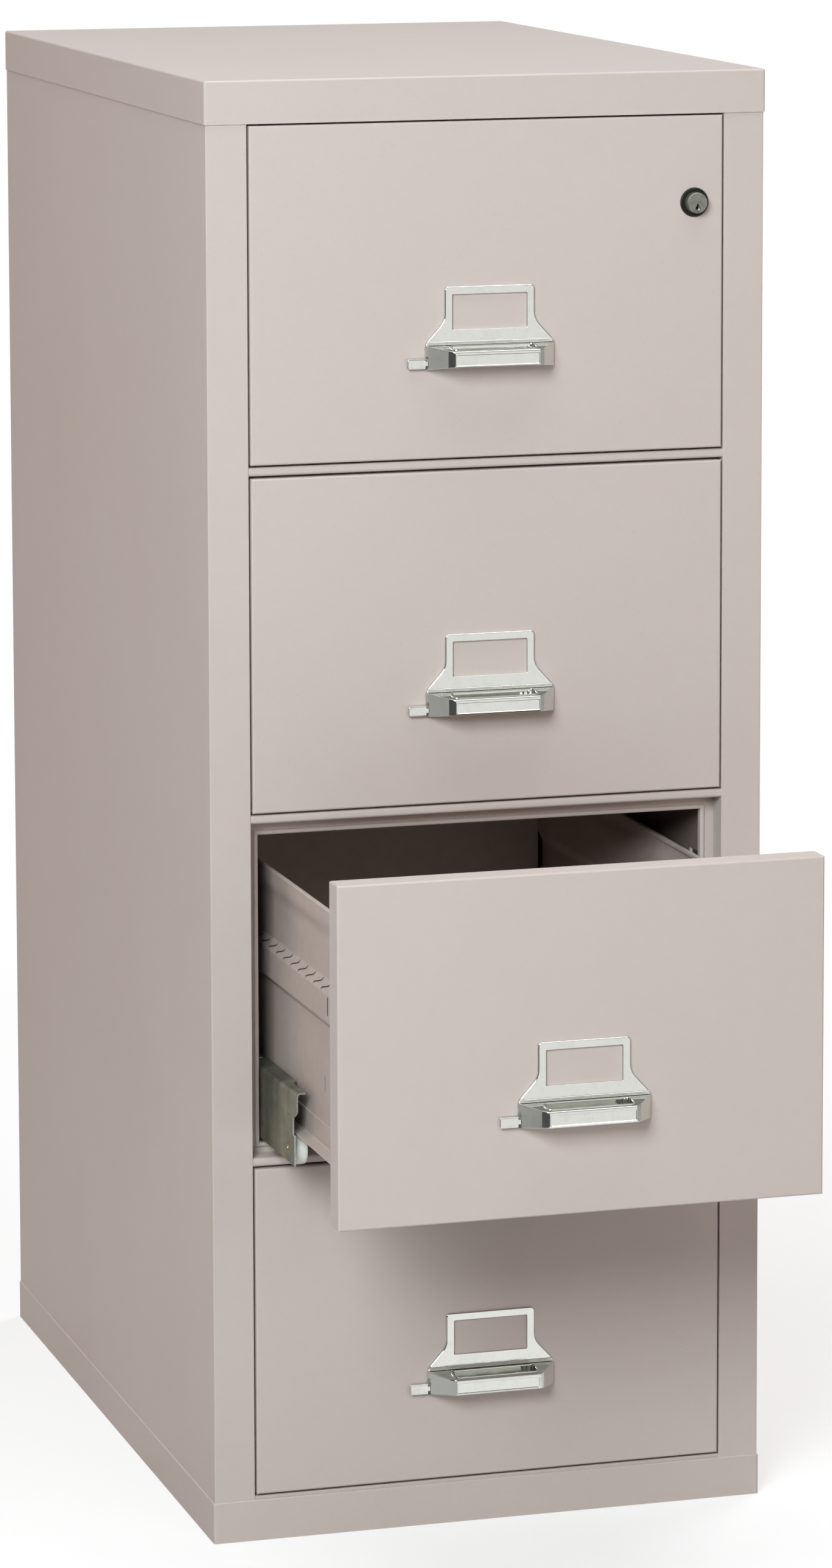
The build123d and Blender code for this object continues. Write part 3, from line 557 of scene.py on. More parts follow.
gripLook = {
    "low": 81.0 * mm,
    "reach": 28.0 * mm,
    "topRise": 103.2 * mm,
    "sideHalf": 45.9 * mm,  # where the side faces end and the bevels begin
    "sideReach": 23.6 * mm,
    "frontHalf": 40.0 * mm,
    "frontLow": 85.2 * mm,
    "frontTop": 99.6 * mm,
    "corner": 1.1 * mm,
    "bevelSteps": 10,
    "bevelCrown": 0.35 * mm,
    "frontRim": 1.3 * mm,
    "panelHalf": 39.5 * mm,
    "panelLow": 86.9 * mm,
    "panelTop": 96.6 * mm,
    "panelEdge": ((0.0, 0.0), (0.15, 0.15), (0.45, 0.5)),  # inset and depth, in millimetres
    "slotHalf": 40.2 * mm,
    "slotFront": -22.8 * mm,
    "slotBack": -7.2 * mm,
    "slotCorner": 4.6 * mm,
    "slotWall": ((2.8, 88.2), (1.6, 88.7), (1.2, 90.0), (0.0, 104.2)),  # inset and rise
    "lip": 0.95 * mm,
    "lipRise": 0.8,
    "lipRoot": -0.2 * mm,
    "lipTurns": (0.0, 0.79, 1.57, 2.36, 3.14),
    "lipOut": 0.1 * mm,
    "tabRooms": (((-62.5, -5.8, 81.7), (-54.2, 1.0, 92.8)), ((-62.5, -5.8, 84.4), (-44.2, 1.0, 90.0))),
}


def handlePlate(place):
    look = handleLook
    foot, neck, corner = look["footHalf"], look["neckHalf"], look["corner"]
    corners = [
        (foot, look["low"], corner),
        (foot, look["shoulder"], look["shoulderRadius"]),
        (neck, look["neck"], look["neckRadius"]),
        (neck, look["top"], corner),
    ]
    corners += [(-across, up, radius) for across, up, radius in reversed(corners)]
    outline = roundedOutline(corners, 7)
    window = rectangle(look["windowHalf"], look["windowLow"], look["windowHigh"], look["windowCorner"])
    mesh = bmesh.new()
    walls = []
    for line, rim, inwards, steps in ((outline, look["rim"], 1, 5), (window, look["windowRim"], -1, 3)):
        rings = [ringOf(mesh, [place(p.x, 0, p.y) for p in line])]
        for inset, rise in quarterRound(rim, steps):
            y = rim - look["thick"] - rise
            rings.append(ringOf(mesh, [place(p.x, y, p.y) for p in shrunk(line, inwards * inset)]))
        joinRings(mesh, rings)
        walls.append(rings)
    for layer in (0, -1):
        fillBetween(mesh, *(rings[layer] for rings in walls))
    return mesh


def handleRidge(mesh, place):
    look = handleLook
    bead, count = look["ridgeBead"], look["ridgeBeads"]
    beside, root = look["ridgeRoot"]
    profile = [(-beside, root)]
    for k in range(count):
        for step in range(1 if k else 0, 7):
            angle = math.pi * step / 6
            across = bead * (2 * k + 1 - math.cos(angle))
            profile.append((across, look["ridgeProud"] + bead * math.sin(angle)))
    profile.append((2 * count * bead + beside, root))
    reach = look["footHalf"] - look["ridgeInset"]
    full = reach - look["ridgeFade"]
    path = [place(x, -look["thick"], look["ridgeLow"]) for x in (reach, full, -full, -reach)]
    sweep(mesh, path, Vector((0, -1, 0)), profile, taper=0.55)


def handleGrip(place):
    look, thick, foot = gripLook, handleLook["thick"], handleLook["footHalf"]
    mesh = bmesh.new()
    reach, rim, top = look["reach"], look["frontRim"], look["topRise"]
    rings = []

    def layer(half, low, high, y):
        outline = rectangle(half, low, high, look["corner"])
        rings.append(ringOf(mesh, [place(p.x, y, p.y) for p in outline]))

    def across(half, out):
        # ring of the grip's cross-section at a distance from the drawer front
        share = (out - thick) / (reach - thick)
        low = look["low"] + (look["frontLow"] - look["low"]) * share
        high = top + (look["frontTop"] - top) * share
        over = max(0.0, out - (reach - rim)) / rim
        inset = rim * (1 - math.sqrt(max(0.0, 1 - over * over)))
        layer(half, low + inset, high - inset, -out)

    layer(foot, look["low"], top, 0.0)
    across(foot, thick)
    across(look["sideHalf"], look["sideReach"])
    for step in range(look["bevelSteps"]):
        share = (step + 1) / look["bevelSteps"]
        crown = look["bevelCrown"] * math.sin(math.pi * share)
        half = look["sideHalf"] + (look["frontHalf"] - look["sideHalf"]) * share + crown
        across(half, look["sideReach"] + (reach - look["sideReach"]) * share)
    for inset, sunk in metres(look["panelEdge"]):
        layer(look["panelHalf"] - inset, look["panelLow"] + inset, look["panelTop"] - inset, sunk - reach)
    bodyOf(mesh, rings)
    slot = rectangle(look["slotHalf"], look["slotFront"], look["slotBack"], look["slotCorner"], 6)
    walls = metres(look["slotWall"])
    cutter = bmesh.new()
    bodyOf(cutter, [ringOf(cutter, [place(p.x, p.y, z) for p in shrunk(slot, inset)]) for inset, z in walls])
    mesh = cutFrom(mesh, cutter)
    for room in look["tabRooms"]:
        # for the thumb tab, and for its bar
        cutter = bmesh.new()
        box(cutter, *(place(*corner) for corner in metres(room)))
        mesh = cutFrom(mesh, cutter)
    # soft lip round the slot
    fall = (top - look["frontTop"]) / (reach - thick)
    lip, root = look["lip"], look["lipRoot"]
    profile = [(-lip * math.cos(a), lip * math.sin(a) * look["lipRise"]) for a in look["lipTurns"]]
    path = [place(p.x, p.y, top + (p.y + thick) * fall) for p in shrunk(slot, -look["lipOut"])]
    sweep(mesh, path, Vector((0, -fall, 1)).normalized(), [(-lip, root), *profile, (lip, root)], closed=True)
    return mesh


def drawerHandle(n):
    front = Vector((0, frontLow[n].y, frontLow[n].z))

    def place(x, y, z):
        return front + Vector((x, y, z))

    mesh = handlePlate(place)
    handleRidge(mesh, place)
    addTo(mesh, handleGrip(place))
    piece = addPiece(f"cast_handle_{n}", mesh, handleChrome, f"drawer_{n}", smoothBelow=32)
    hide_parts(f"handle_{n}")


# Thumb tabs: a plated cap with a bevelled top on each latch's tab, in millimetres

tabLook = {
    "across": (-78.0, -61.4),
    "rise": (82.4, 92.0),
    "corner": 1.3,
    "innerCorner": 0.3,
    # inset, drop of the upper edge and distance from the drawer front
    "layers": (
        (0.0, 0.0, 4.2), (0.0, 0.0, 4.6), (0.12, 0.5, 4.95),
        (0.35, 1.6, 5.2), (0.6, 2.1, 5.28), (1.1, 2.6, 5.3),
    ),
}


def tabCap(n):
    look = tabLook
    left, right = look["across"]
    low, high = look["rise"]
    outer, inner = look["corner"], look["innerCorner"]
    mesh = bmesh.new()
    rings = []
    for inset, drop, out in look["layers"]:
        side, foot, top = left + inset, low + inset, high - drop
        corners = [(right, foot, inner), (right, top, inner), (side, top, outer), (side, foot, outer)]
        place = Vector((0, frontLow[n].y - out * mm, frontLow[n].z))
        rings.append(ringOf(mesh, [place + Vector((p.x, 0, p.y)) * mm for p in roundedOutline(corners)]))
    bodyOf(mesh, rings)
    addPiece(f"thumb_tab_cap_{n}", mesh, latchChrome, f"thumb_latch_{n}", smoothBelow=28)


for n in drawers:
    drawerHandle(n)
    tabCap(n)
print("handles made")


# Trays: profiled side sheets, angle rails, a beaded floor, a hemmed back and the lock's lug

trayLook = {
    "half": 194.0 * mm,
    "railRise": 38.7 * mm,  # above the drawer front's lower edge
    "sheet": 1.0 * mm,
    # out, up and radius of the bends, in millimetres from the side's top, the rail's and the hem's foot
    "side": (
        (-1.3, -3.4, 0.0), (-1.3, 0.0, 1.1), (3.0, 0.0, 1.3), (3.0, -14.0, 34.0), (0.0, -24.5, 34.0),
        (0.0, -64.0, 5.0), (5.0, -75.0, 4.5), (5.0, -100.5, 4.5), (0.0, -106.0, 4.5),
    ),
    "rail": (
        (0.0, 0.0, 0.3), (13.0, 0.0, 0.6), (13.0, 1.4, 0.6),
        (1.4, 1.4, 1.6), (1.4, 22.0, 0.6), (0.0, 22.0, 0.2),
    ),
    "bead": ((-9.0, 0.0, 2.0), (-6.0, 1.6, 3.0), (6.0, 1.6, 3.0), (9.0, 0.0, 2.0)),
    "beadsAt": (-110.0, 0.0, 110.0),
    "hem": ((0.0, 0.0, 1.4), (-9.0, 0.0, 1.2), (-9.0, -5.0, 0.0)),
    "backDrop": 5.5 * mm,
    "slotBehind": 71.0 * mm,
    "slotWide": 3.2 * mm,
    "slotDrop": 94.0 * mm,
    "slotHigh": 17.5 * mm,
    "slotCorner": 1.5 * mm,
    "slotCut": (0.5 * mm, 12.0 * mm),
    "lugBehind": (6.0, 10.0, 16.0, 20.0),  # walls and slot, behind the tray's front edge
    "lugRise": (164.3, 182.3, 186.3),  # foot, roof's underside and top, above the tray's floor
    "lugOut": 13.0 * mm,
}


def slotSpan(n):
    # y and z of the divider slot in the sides of a tray
    look = trayLook
    y, z = trayLow[n].y + look["slotBehind"], trayHigh[n].z - look["slotDrop"]
    return y, y + look["slotWide"], z, z + look["slotHigh"]


def traySides(mesh, n):
    look = trayLook
    low, high = trayLow[n], trayHigh[n]
    half = look["half"]
    line = metres(look["side"]) + [(0.0, low.z - high.z, 0.0)]
    line = roundedOutline(line, 6, closed=False)
    for side in (-1, 1):
        def place(out, up, y):
            return Vector((side * (half + out), y, high.z + up))

        foldedSheet(mesh, line, -look["sheet"], place, (low.y, high.y))
    front, back, foot, top = slotSpan(n)
    corners = ((front, foot), (back, foot), (back, top), (front, top))
    slot = roundedOutline([(y, z, look["slotCorner"]) for y, z in corners], 5)
    for side in (-1, 1):
        cutter = bmesh.new()
        outs = [side * (half + out) for out in look["slotCut"]]
        bodyOf(cutter, [ringOf(cutter, [(x, p.x, p.y) for p in slot]) for x in outs])
        mesh = cutFrom(mesh, cutter)
    return mesh


def trayRest(n):
    # Rails, floor, back and lug
    look = trayLook
    low, high = trayLow[n], trayHigh[n]
    half, sheet = look["half"], look["sheet"]
    mesh = bmesh.new()
    rail = roundedOutline(metres(look["rail"]), 4)
    for side in (-1, 1):
        outline = [(side * (half + p.x), low.z + p.y) for p in rail]
        bodyOf(mesh, [ringOf(mesh, [(x, y, z) for x, z in outline]) for y in (low.y, high.y)])
    inner = half - sheet
    floor = [(-inner, 0.0, 0.0)]
    for middle in look["beadsAt"]:
        floor += metres([(middle + across, rise, radius) for across, rise, radius in look["bead"]])
    floor = roundedOutline(floor + [(inner, 0.0, 0.0)], 3, closed=False)
    foldedSheet(mesh, floor, sheet, lambda x, z, y: Vector((x, y, low.z + z)), (low.y, high.y - sheet))
    top = high.z - look["backDrop"]
    back = [(0.0, low.z + sheet, 0.0)] + [(y, top + z, radius) for y, z, radius in metres(look["hem"])]
    back = roundedOutline(back, 5, closed=False)
    foldedSheet(mesh, back, sheet, lambda y, z, x: Vector((x, high.y + y, z)), (-inner, inner))
    walls = [low.y + y * mm for y in look["lugBehind"]]
    foot, under, roof = (low.z + z * mm for z in look["lugRise"])
    for first, bottom in ((0, foot), (2, foot), (1, under)):
        box(mesh, (half, walls[first], bottom), (half + look["lugOut"], walls[first + 1], roof))
    return mesh


def pressedTray(n):
    mesh = traySides(bmesh.new(), n)
    addTo(mesh, trayRest(n))
    piece = addPiece(f"pressed_tray_{n}", mesh, trayEnamel, f"drawer_{n}", smoothBelow=30)
    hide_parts(f"drawer_tray_{n}")


for n in drawers:
    pressedTray(n)
print("trays made")


# Painted welds where the beads of each cell frame meet

weldLook = {
    "across": 214.7 * mm,
    "behind": 1.5 * mm,
    "aboveLiner": 0.5 * mm,
    "size": (3.6, 1.35, 3.4),
    "lump": 0.45,
    "lumpGrain": 1.9,
    "shrink": 0.12,
    "front": -1.4 * mm,  # no weld bulges further forwards
}


def cornerWelds(n):
    look = weldLook
    frameLow = nodeBox(f"cell_frame_{n}")[0]
    low, high = nodeBox(f"cell_liner_{n}")
    chance = random.Random(20 + n)
    mesh = bmesh.new()
    for side in (-1, 1):
        for level in (low.z - look["aboveLiner"], high.z + look["aboveLiner"]):
            middle = Vector((side * look["across"], frameLow.y + look["behind"], level))
            seed = Vector([chance.uniform(0, 50) for _ in range(3)])
            for vert in bmesh.ops.create_icosphere(mesh, subdivisions=3, radius=1.0)["verts"]:
                lump = look["lump"] * noise.noise(vert.co * look["lumpGrain"] + seed)
                swell = 1.0 + lump - look["shrink"]
                place = Vector([c * s for c, s in zip(vert.co, look["size"])]) * swell * mm
                place.y = max(place.y, look["front"])
                vert.co = middle + place
    addPiece(f"corner_welds_{n}", mesh, enamel, "cabinet", smoothBelow=60)


for n in drawers:
    cornerWelds(n)
print("welds made")


# S-shaped lances along the slope above each tray's raised band, and an upright one near its front; the dark
# strips beside their lips and the dark blocks in the divider slots are painted shade

lanceLook = {
    "firstBehind": 130.5 * mm,
    "pitch": 25.4 * mm,
    "count": 23,
    # forwards and up the slope; then sideways towards the slit and outwards, all in millimetres
    "line": (
        (-10.0, -5.2), (-10.5, -3.6), (-7.6, -2.0), (-3.8, -1.0),
        (0.0, 0.0), (4.2, 1.1), (8.6, 3.0), (9.3, 5.4),
    ),
    "lip": (
        (-2.4, -0.2), (-2.4, 0.02), (-1.32, 0.255), (-0.48, 0.697),
        (-0.144, 0.85), (0.08, 0.7905), (0.12, 0.51), (0.0, -0.2),
    ),
    # a dark strip beside the lip, painted as the shade in the lance's opening
    "slit": ((-0.05, -0.2), (-0.05, 0.1), (1.0, 0.1), (1.0, -0.2)),
    "slopeTopDrop": 64.0 * mm,
    "slopeLowDrop": 75.0 * mm,
    "bandOut": 5.0 * mm,
    "uprightBehind": 145.0 * mm,
    "uprightRise": 96.3 * mm,
    "uprightLength": 15.8 * mm,
    "endSize": 0.45,
    "slotShadeOut": (3.5 * mm, 4.88 * mm),  # painted shade: a dark block in each divider slot, out from the side sheet
}


def lanceLine():
    # Centre line with its corners cut round
    points = [Vector(point) for point in metres(lanceLook["line"])]
    for _ in range(2):
        finer = [points[0]]
        for first, second in zip(points, points[1:]):
            finer += [first.lerp(second, 0.25), first.lerp(second, 0.75)]
        points = finer + [points[-1]]
    return points


def lanceShell(mesh, line, profile, place):
    rings = []
    for k, point in enumerate(line):
        along = heading(line, k)
        size = lanceLook["endSize"] if k in (0, len(line) - 1) else 1.0
        aside = Vector((along.y, -along.x)) * size
        rings.append(ringOf(mesh, [place(point + aside * s, o * size) for s, o in metres(profile)]))
    bodyOf(mesh, rings)


def trayLances(n):
    look = lanceLook
    lips, shadeStrips = bmesh.new(), bmesh.new()
    top, half = trayHigh[n].z, trayLook["half"]
    long, length = lanceLine(), look["uprightLength"]
    short = [Vector((0.0, (step / 6 - 0.5) * length)) for step in range(7)]
    front, back, foot, head = slotSpan(n)

    def lance(line, place):
        lanceShell(lips, line, look["lip"], place)
        lanceShell(shadeStrips, line, look["slit"], place)

    for side in (-1, 1):
        upper = Vector((side * half, 0, top - look["slopeTopDrop"]))
        lower = Vector((side * (half + look["bandOut"]), 0, top - look["slopeLowDrop"]))
        upSlope = (upper - lower).normalized()
        outward = Vector((side * abs(upSlope.z), 0, abs(upSlope.x)))
        middle = (upper + lower) / 2
        for k in range(look["count"]):
            y = frontLow[n].y + look["firstBehind"] + k * look["pitch"]
            lance(long, lambda p, out: Vector((middle.x, y - p.x, middle.z)) + upSlope * p.y + outward * out)
        y = frontLow[n].y + look["uprightBehind"]
        rise = trayLow[n].z - trayLook["railRise"] + look["uprightRise"]
        lance(short, lambda p, out: Vector((side * (half + out), y - p.x, rise + p.y)))
        near, far = (side * (half + out) for out in look["slotShadeOut"])
        # painted shade: a dark block filling the divider slot
        box(shadeStrips, (near, front, foot), (far, back, head))
    body = f"drawer_{n}"
    addPiece(f"tray_lances_{n}", lips, trayEnamel, body, smoothBelow=40)
    addPiece(f"tray_lance_shades_{n}", shadeStrips, slitShadow, body)


for n in drawers:
    trayLances(n)
print("tray lances made")


# Slide arms: folded zinc-plated members with a pressed front end and riveted axles, in millimetres

armLook = {
    "sheet": 1.6,
    "bend": 4.4,
    "flange": 15.0,
    "notchFlange": 10.5,
    "notchEnd": 46.0,
    "headProud": 0.3,
    # how far back the web's front edge is cut, at each height
    "frontCut": (
        (0.0, 2.9), (4.0, 3.1), (8.0, 2.7), (12.0, 3.4), (17.0, 2.8), (22.0, 3.3),
        (26.6, 3.0), (28.2, 4.3), (34.0, 4.1), (41.0, 4.2), (44.6, 4.0), (46.4, 2.2),
        (48.2, 0.8), (51.0, 0.3), (54.0, 0.55), (58.0, 0.4), (67.4, 0.3),
    ),
    "cutFade": (0, 40),
    # where the sheet has its rings, back from the front edge and up the web
    "stations": (
        0.0, 0.8, 2.2, 4.5, 7.5, 10.5, 13.5, 16.5, 19.0, 21.0, 23.0, 24.5, 26.0, 27.5, 29.5, 32.0, 36.0, 41.0,
        45.6, 46.6, 50.0, 56.0, 64.0, 76.0, 92.0, 130.0, 220.0, 330.0, 460.0,
    ),
    "webHeights": (
        0.0, 1.2, 4.0, 8.0, 12.0, 16.0, 20.0, 23.5, 26.0, 27.4, 28.0, 28.5, 31.0,
        34.0, 37.0, 40.0, 43.0, 44.5, 45.0, 45.6, 46.6, 48.0, 49.6, 51.5, 54.0, 58.0,
    ),
    "sunk": 1.2,  # how far the front end is set in from the outer face
    "sunkFade": (50, 95),
    "upperSunk": 1.5,  # its upper part beyond that
    "upperFade": (12, 70),
    "upperRise": (45.0, 50.0),
    "patch": (27.6, 45.2),  # and the heights between which it isn't set in
    "patchEnd": 27.0,
    "patchBow": 5.0,
    "edgeProud": 0.18,
}

axleLook = {
    "behind": (25.6, 352.0),
    "rise": 11.5,
    "radius": 3.0,
    # radius and rise of the riveted end, out from the web
    "rivet": (
        (0.0, 0.62), (0.9, 0.66), (1.5, 1.0), (2.2, 1.12), (2.7, 0.85),
        (2.85, 0.42), (3.4, 0.36), (4.1, 0.3), (4.6, 0.0), (4.6, -0.5),
    ),
    "flatRise": 0.25,  # share of that rise at the rear axle, where the web isn't set in
    # radius and distance out from the cabinet's middle, at the head beyond the roller
    "head": ((4.6, 195.0), (4.6, 194.65), (4.4, 194.5), (0.0, 194.5)),
}


def between(pairs, value):
    # Straight-line value of a table of (place, value) pairs
    for (low, first), (high, second) in zip(pairs, pairs[1:]):
        if value <= high:
            return first + (second - first) * max(0.0, value - low) / (high - low)
    return pairs[-1][1]


def ease(value, low, high):
    share = max(0.0, min(1.0, (value - low) / (high - low)))
    return share * share * (3 - 2 * share)


def armSunk(back, rise):
    # How far the web's outer face lies inside the arm's widest plane, near its front end
    look = armLook
    low, high = look["patch"]
    sunk = look["sunk"] * (1 - ease(back, *look["sunkFade"]))
    upper = look["upperSunk"] * ease(rise, *look["upperRise"]) * (1 - ease(back, *look["upperFade"]))
    end = look["patchEnd"] - look["patchBow"] * ((2 * rise - low - high) / (high - low)) ** 2
    patch = ease(rise, low, low + 0.6) * (1 - ease(rise, high - 0.6, high)) * (1 - ease(back, end - 0.9, end))
    return sunk * (1 - patch) + upper


def armRows(height):
    # Inset, height and outward direction of the lines along the sheet: web, bend and flange
    look = armLook
    bend = look["bend"]
    rows = [(0.0, z, -1.0, 0.0) for z in (*look["webHeights"], height - bend)]
    for step in range(1, 7):
        angle = math.pi / 2 * step / 6
        out, up = math.cos(angle), math.sin(angle)
        rows.append((bend * (1 - out), height - bend + bend * up, -out, up))
    return rows + [("halfway", height, 0.0, 1.0), ("edge", height, 0.0, 1.0)]


def armSide(mesh, edge, low, high, side):
    look = armLook
    outer = high.x / mm - look["headProud"]
    height, length = (high.z - low.z) / mm, (high.y - low.y) / mm
    shells = []
    for layer in (0.0, look["sheet"]):
        lines = []
        for inset, rise, outX, outZ in armRows(height):
            cut = between(look["frontCut"], rise)
            line = []
            for back in look["stations"] + (length,):
                wide = look["notchFlange"] if back < look["notchEnd"] else look["flange"]
                across = {"halfway": (look["bend"] + wide) / 2, "edge": wide}.get(inset, inset)
                sink = armSunk(back, rise) * (1 - across / look["flange"])
                x = side * (outer - across - sink + layer * outX)
                y = back + cut * (1 - ease(back, *look["cutFade"]))
                point = Vector((0, low.y, low.z)) + Vector((x, y, rise - layer * outZ)) * mm
                line.append(mesh.verts.new(point))
            lines.append(line)
        joinRings(mesh, lines, closed=False)
        shells.append(lines)
    for place in (0, -1):
        joinRings(mesh, [lines[place] for lines in shells], closed=False)
        joinRings(mesh, [[line[place] for line in lines] for lines in shells], closed=False)
    # bright cut edge, a hair in front of the front end
    rings = []
    ahead = Vector((0, -look["edgeProud"] * mm, 0))
    for lines in zip(*shells):
        outside, inside = (line[0].co for line in lines)
        outline = [outside.lerp(inside, share) for share in (0.02, 0.05, 0.95, 0.98)]
        rings.append(ringOf(edge, [outline[0], outline[1] + ahead, outline[2] + ahead, outline[3]]))
    bodyOf(edge, rings)


def armAxles(mesh, low, high, side):
    look = axleLook
    for back in look["behind"]:
        sunk = armSunk(back, look["rise"])
        face = high.x / mm - armLook["headProud"] - sunk
        size = 1.0 if sunk else look["flatRise"]
        profile = [(radius, face + rise * size) for radius, rise in look["rivet"]]
        profile += [(look["radius"], profile[-1][1]), (look["radius"], look["head"][0][1]), *look["head"]]
        start = Vector((0, low.y + back * mm, low.z + look["rise"] * mm))
        turned(mesh, metres(profile), start, Vector((side, 0, 0)), 36)


def slideArms(n):
    low, high = nodeBox(f"slide_arms_{n}")
    mesh, edge, axles = bmesh.new(), bmesh.new(), bmesh.new()
    for side in (-1, 1):
        armSide(mesh, edge, low, high, side)
        armAxles(axles, low, high, side)
    body = f"slide_arms_{n}"
    arms = addPiece(f"folded_arms_{n}", mesh, zinc, body, smoothBelow=38)
    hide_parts(f"slide_arms_{n}")
    addPiece(f"arm_cut_edges_{n}", edge, cutZinc, body, smoothBelow=50)
    addPiece(f"arm_axles_{n}", axles, axleSteel, body, smoothBelow=40)


# Rollers: turned nylon with a recessed hub, each on its axle, in millimetres

rollerLook = {
    "width": 12.6,
    # radius and depth from the side face, from the bore to the middle of the tread
    "profile": (
        (3.08, 0.0), (6.0, 0.0), (6.5, 0.7), (12.2, 0.7), (12.8, 0.0), (13.6, 0.0), (14.35, 0.2),
        (14.9, 0.75), (15.1, 1.6), (15.2, 6.3),
    ),
}


def slideRollers(n, which):
    look = rollerLook
    name = f"{which}_rollers_{n}"
    low, high = nodeBox(name)
    middle = (low + high) / 2
    middle.x = 0
    outer = high.x / mm
    profile = [(radius, outer - depth) for radius, depth in look["profile"]]
    profile += [(radius, outer - look["width"] + depth) for radius, depth in reversed(look["profile"][:-1])]
    mesh = bmesh.new()
    for side in (-1, 1):
        turned(mesh, metres(profile), middle, Vector((side, 0, 0)), 56, closed=True)
    piece = addPiece(f"turned_{name}", mesh, nylon, name, smoothBelow=35)
    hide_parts(name)


for n in drawers:
    slideArms(n)
    for which in ("front", "rear"):
        slideRollers(n, which)
print("slides made")


# Lock: dished bezel, and a core whose keyhole is a round recess with a slot

# radius and distance from the drawer front, from the outside over the rim to the bore
bezelProfile = (
    (11.58, 0.0), (13.5, 0.0), (13.5, 0.55), (13.3, 1.15), (12.9, 1.5), (12.5, 1.55),
    (12.1, 1.35), (11.2, 0.75), (10.2, 0.45), (9.75, 0.35), (9.62, 0.1),
)

coreLook = {
    "radius": 5.15 * mm,
    "edge": 0.25 * mm,
    "recessRadius": 2.5 * mm,
    "recessDrop": 1.6 * mm,
    "recessDepth": 2.2 * mm,
    "slotHalf": 1.05 * mm,
    "slotTop": 2.6 * mm,
    "slotShoulder": 1.7 * mm,
    "slotDepth": 12.0 * mm,
    "notchHalf": 0.8 * mm,
    "notchDepth": 2.0 * mm,
    "over": 1.0 * mm,  # how far the cutters stand out of the core
}


def lockBezel():
    low, high = nodeBox("lock_bezel")
    start = (low + high) / 2
    start.y = frontLow[1].y
    mesh = bmesh.new()
    profile = metres(bezelProfile)
    profile += [(profile[-1][0], start.y - high.y), (profile[0][0], start.y - high.y)]
    turned(mesh, profile, start, Vector((0, -1, 0)), 72, closed=True)
    piece = addPiece("dished_lock_bezel", mesh, blackLacquer, "drawer_1", smoothBelow=40)
    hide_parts("lock_bezel")


def keyCore():
    look = coreLook
    low, high = nodeBox("key_plug")
    face = (low + high) / 2
    face.y = low.y
    inwards = Vector((0, 1, 0))
    mesh, recess, slot, notch = (bmesh.new() for _ in range(4))
    radius, edge, long = look["radius"], look["edge"], high.y - low.y
    profile = [(0.0, 0.0), (radius - edge, 0.0), (radius, edge), (radius, long), (0.0, long)]
    turned(mesh, profile, face, inwards, 64)
    reach, deep, drop, over = look["recessRadius"], look["recessDepth"], look["recessDrop"], look["over"]
    profile = [(0.0, -over), (reach, -over), (reach, deep * 0.6), (reach * 0.5, deep), (0.0, deep)]
    turned(recess, profile, face - Vector((0, 0, drop)), inwards, 40)
    half = look["slotHalf"]
    outline = [(half, -drop - over), (half * 0.95, look["slotShoulder"]), (half * 0.45, look["slotTop"])]
    outline += [(-x, z) for x, z in reversed(outline)]
    ends = [[face + Vector((x, out, z)) for x, z in outline] for out in (-over, look["slotDepth"])]
    bodyOf(slot, [ringOf(slot, end) for end in ends])
    half = look["notchHalf"]
    near, far = Vector((-half, -over, -radius - over)), Vector((half, look["notchDepth"], -drop))
    box(notch, face + near, face + far)
    for cutter in (recess, slot, notch):
        mesh = cutFrom(mesh, cutter)
    piece = addPiece("key_core", mesh, lockSteel, "key_plug", smoothBelow=35)
    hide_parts("key_plug")


lockBezel()
keyCore()
print("lock made")


# Floor, light and camera

white = (1.0, 1.0, 1.0)

floorLook = {
    "half": 12.0,
    "colour": (0.50, 0.50, 0.50),
    "grainShade": 0.985,
    "lift": 0.55,  # glow added where the camera looks, so that the lit floor is white
    "fade": (0.75, 2.2),  # metres from the cabinet's middle where the shadow fades out
}


def layFloor():
    look = floorLook
    half = look["half"]
    mesh = bmesh.new()
    mesh.faces.new(ringOf(mesh, [(-half, -half, 0), (half, -half, 0), (half, half, 0), (-half, half, 0)]))
    floor = asObject("floor", mesh)
    f = Finish("paleFloor")
    camera, mirrored = f.rays()
    reach = f.vector("LENGTH", f.position)
    far = reach.smooth(*look["fade"])
    across, ahead, _ = f.axes(f.position)
    seen = camera + mirrored * roomShine(across / reach, ahead / reach) * (1.0 - camera)
    grain = f.noise(35.0, 3.0, 0.5)
    colour = f.mix(grain, look["colour"], tuple(c * look["grainShade"] for c in look["colour"]))
    paint = f.surface(colour, 0.85 + grain * 0.05, {
        "Specular IOR Level": 0.0,
        "Emission Color": f.mix(seen, (0.0, 0.0, 0.0), (look["lift"],) * 3),
        "Emission Strength": 1.0,
    })
    glow = f.node("ShaderNodeEmission", {"Color": white, "Strength": seen})
    f.show(f.blend(far * (camera + mirrored).clamp(), paint, glow))
    floor.data.materials.append(f.material)


lampLook = {
    # place, aim, size, tint and watts
    "key": ((-2.3, -3.9, 2.8), (0.0, -0.4, 0.8), (1.8, 1.8), (0.90, 0.97, 1.00), 187),
    "front": ((1.9, -5.3, 1.9), (0.1, -0.4, 0.8), (3.0, 2.4), (1.00, 0.84, 0.75), 44),
    "top": ((0.0, -0.3, 4.2), (0.0, 0.0, 1.3), (3.0, 3.0), (0.94, 0.985, 1.00), 92),
    "left": ((-3.6, 1.4, 1.3), (-0.2, -0.2, 0.6), (2.0, 2.0), (1.00, 0.66, 0.54), 23),
    "right": ((3.4, 2.6, 1.7), (0.2, 0.2, 0.7), (2.4, 2.4), (1.00, 0.93, 0.92), 104),
}


def hangLamp(name, place, aim, size, tint, power):
    lamp = bpy.data.lights.new(name, "AREA")
    lamp.shape = "RECTANGLE"
    lamp.size, lamp.size_y = size
    lamp.energy = power
    lamp.color = tint
    thing = addThing(name, lamp)
    thing.location = place
    thing.rotation_euler = (Vector(aim) - Vector(place)).to_track_quat("-Z", "Y").to_euler()
    thing.visible_glossy = name != "front"  # metal doesn't show that lamp


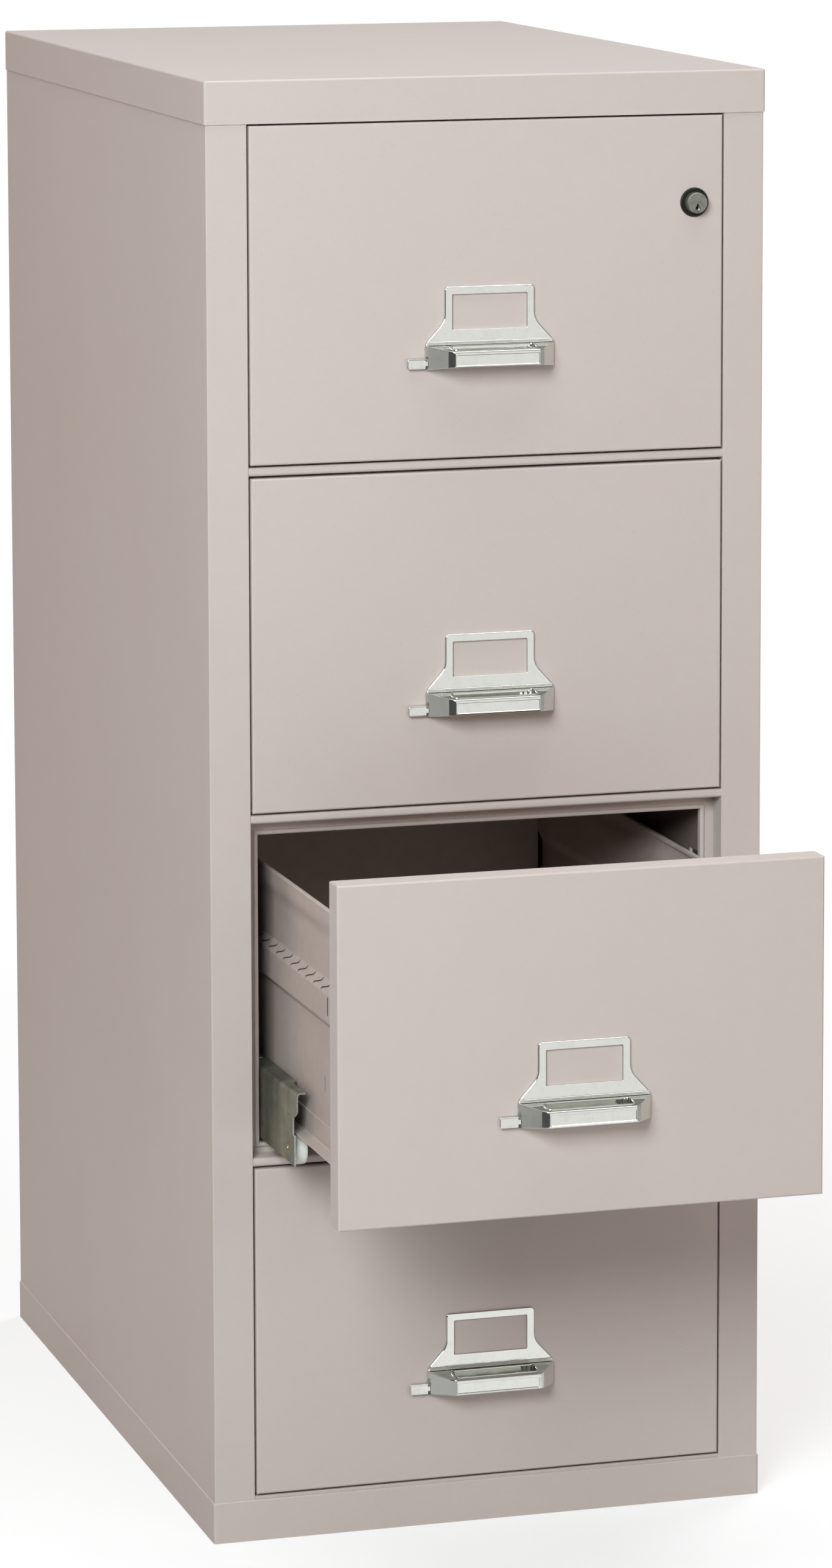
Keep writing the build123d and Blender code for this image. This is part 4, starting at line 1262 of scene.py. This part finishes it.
roomLook = {
    "ambient": (0.045, 0.033, 0.031),
    # what metal sees of the room, and in which directions
    "sideGrey": 0.42,
    "sideFrom": (0.55, 0.75),
    "leftDark": 0.09,  # round the camera and to the left of it
    "leftFrom": (0.1, 0.2),
    "leftTo": (0.9, 0.95),
    "leftAhead": (0.05, 0.2),
    "behindGrey": 0.45,
    "behindFrom": (0.1, 0.5),
    "bandGrey": 0.35,  # between the horizon's light and the light overhead
    "bandFrom": (0.26, 0.36),
    "bandTo": (0.52, 0.66),
}


def roomShine(x, y, z=None):
    # How bright metal sees the room in a direction
    look = roomLook
    side = x.maths("ABSOLUTE").smooth(*look["sideFrom"])
    left = (-x).smooth(*look["leftFrom"]) * (1.0 - (-x).smooth(*look["leftTo"]))
    left = left * (-y).smooth(*look["leftAhead"])
    behind = y.smooth(*look["behindFrom"]) * (1.0 - look["behindGrey"])
    shine = (1.0 - side * (1.0 - look["sideGrey"])) * (1.0 - behind * (1.0 - side))
    shine = shine * (1.0 - left) + left * look["leftDark"]
    if z is None:
        return shine
    band = z.smooth(*look["bandFrom"]) * (1.0 - z.smooth(*look["bandTo"]))
    return shine * (1.0 - band * (1.0 - look["bandGrey"]))


def lightRoom():
    # The camera sees white, metal the studio, and everything else a dim warm light
    world = bpy.data.worlds.new("studio")
    world.use_nodes = True
    g = Graph(world.node_tree, "ShaderNodeOutputWorld")
    camera, mirrored = g.rays()
    shine = roomShine(*g.axes(g.node("ShaderNodeTexCoord", {}, "Generated")))
    studio = g.node("ShaderNodeBackground", {"Color": white, "Strength": shine})
    ambient = g.node("ShaderNodeBackground", {"Color": roomLook["ambient"]})
    backdrop = g.node("ShaderNodeBackground", {"Color": white})
    g.show(g.blend(camera, g.blend(mirrored, ambient, studio), backdrop))
    bpy.context.scene.world = world


cameraLook = {
    "place": (-1.58631, -5.49766, 1.69401),
    "right": (0.958335, -0.285634, -0.002534),
    "up": (0.040199, 0.126079, 0.991205),
    "lens": 136.427,
    "sensor": 36.0,
    "shift": -0.2,
    "sight": (0.05, 60.0),
}


def placeCamera():
    look = cameraLook
    right, up = Vector(look["right"]), Vector(look["up"])
    turn = Matrix((right, up, right.cross(up))).transposed()
    camera = bpy.data.cameras.new("camera")
    camera.lens = look["lens"]
    camera.sensor_width = look["sensor"]
    camera.shift_y = look["shift"]
    camera.clip_start, camera.clip_end = look["sight"]
    thing = addThing("camera", camera)
    thing.matrix_world = Matrix.Translation(look["place"]) @ turn.to_4x4()
    bpy.context.scene.camera = thing


layFloor()
for name, values in lampLook.items():
    hangLamp(name, *values)
lightRoom()
placeCamera()
bpy.context.scene.view_settings.view_transform = "Standard"
print("floor, lamps and camera set")
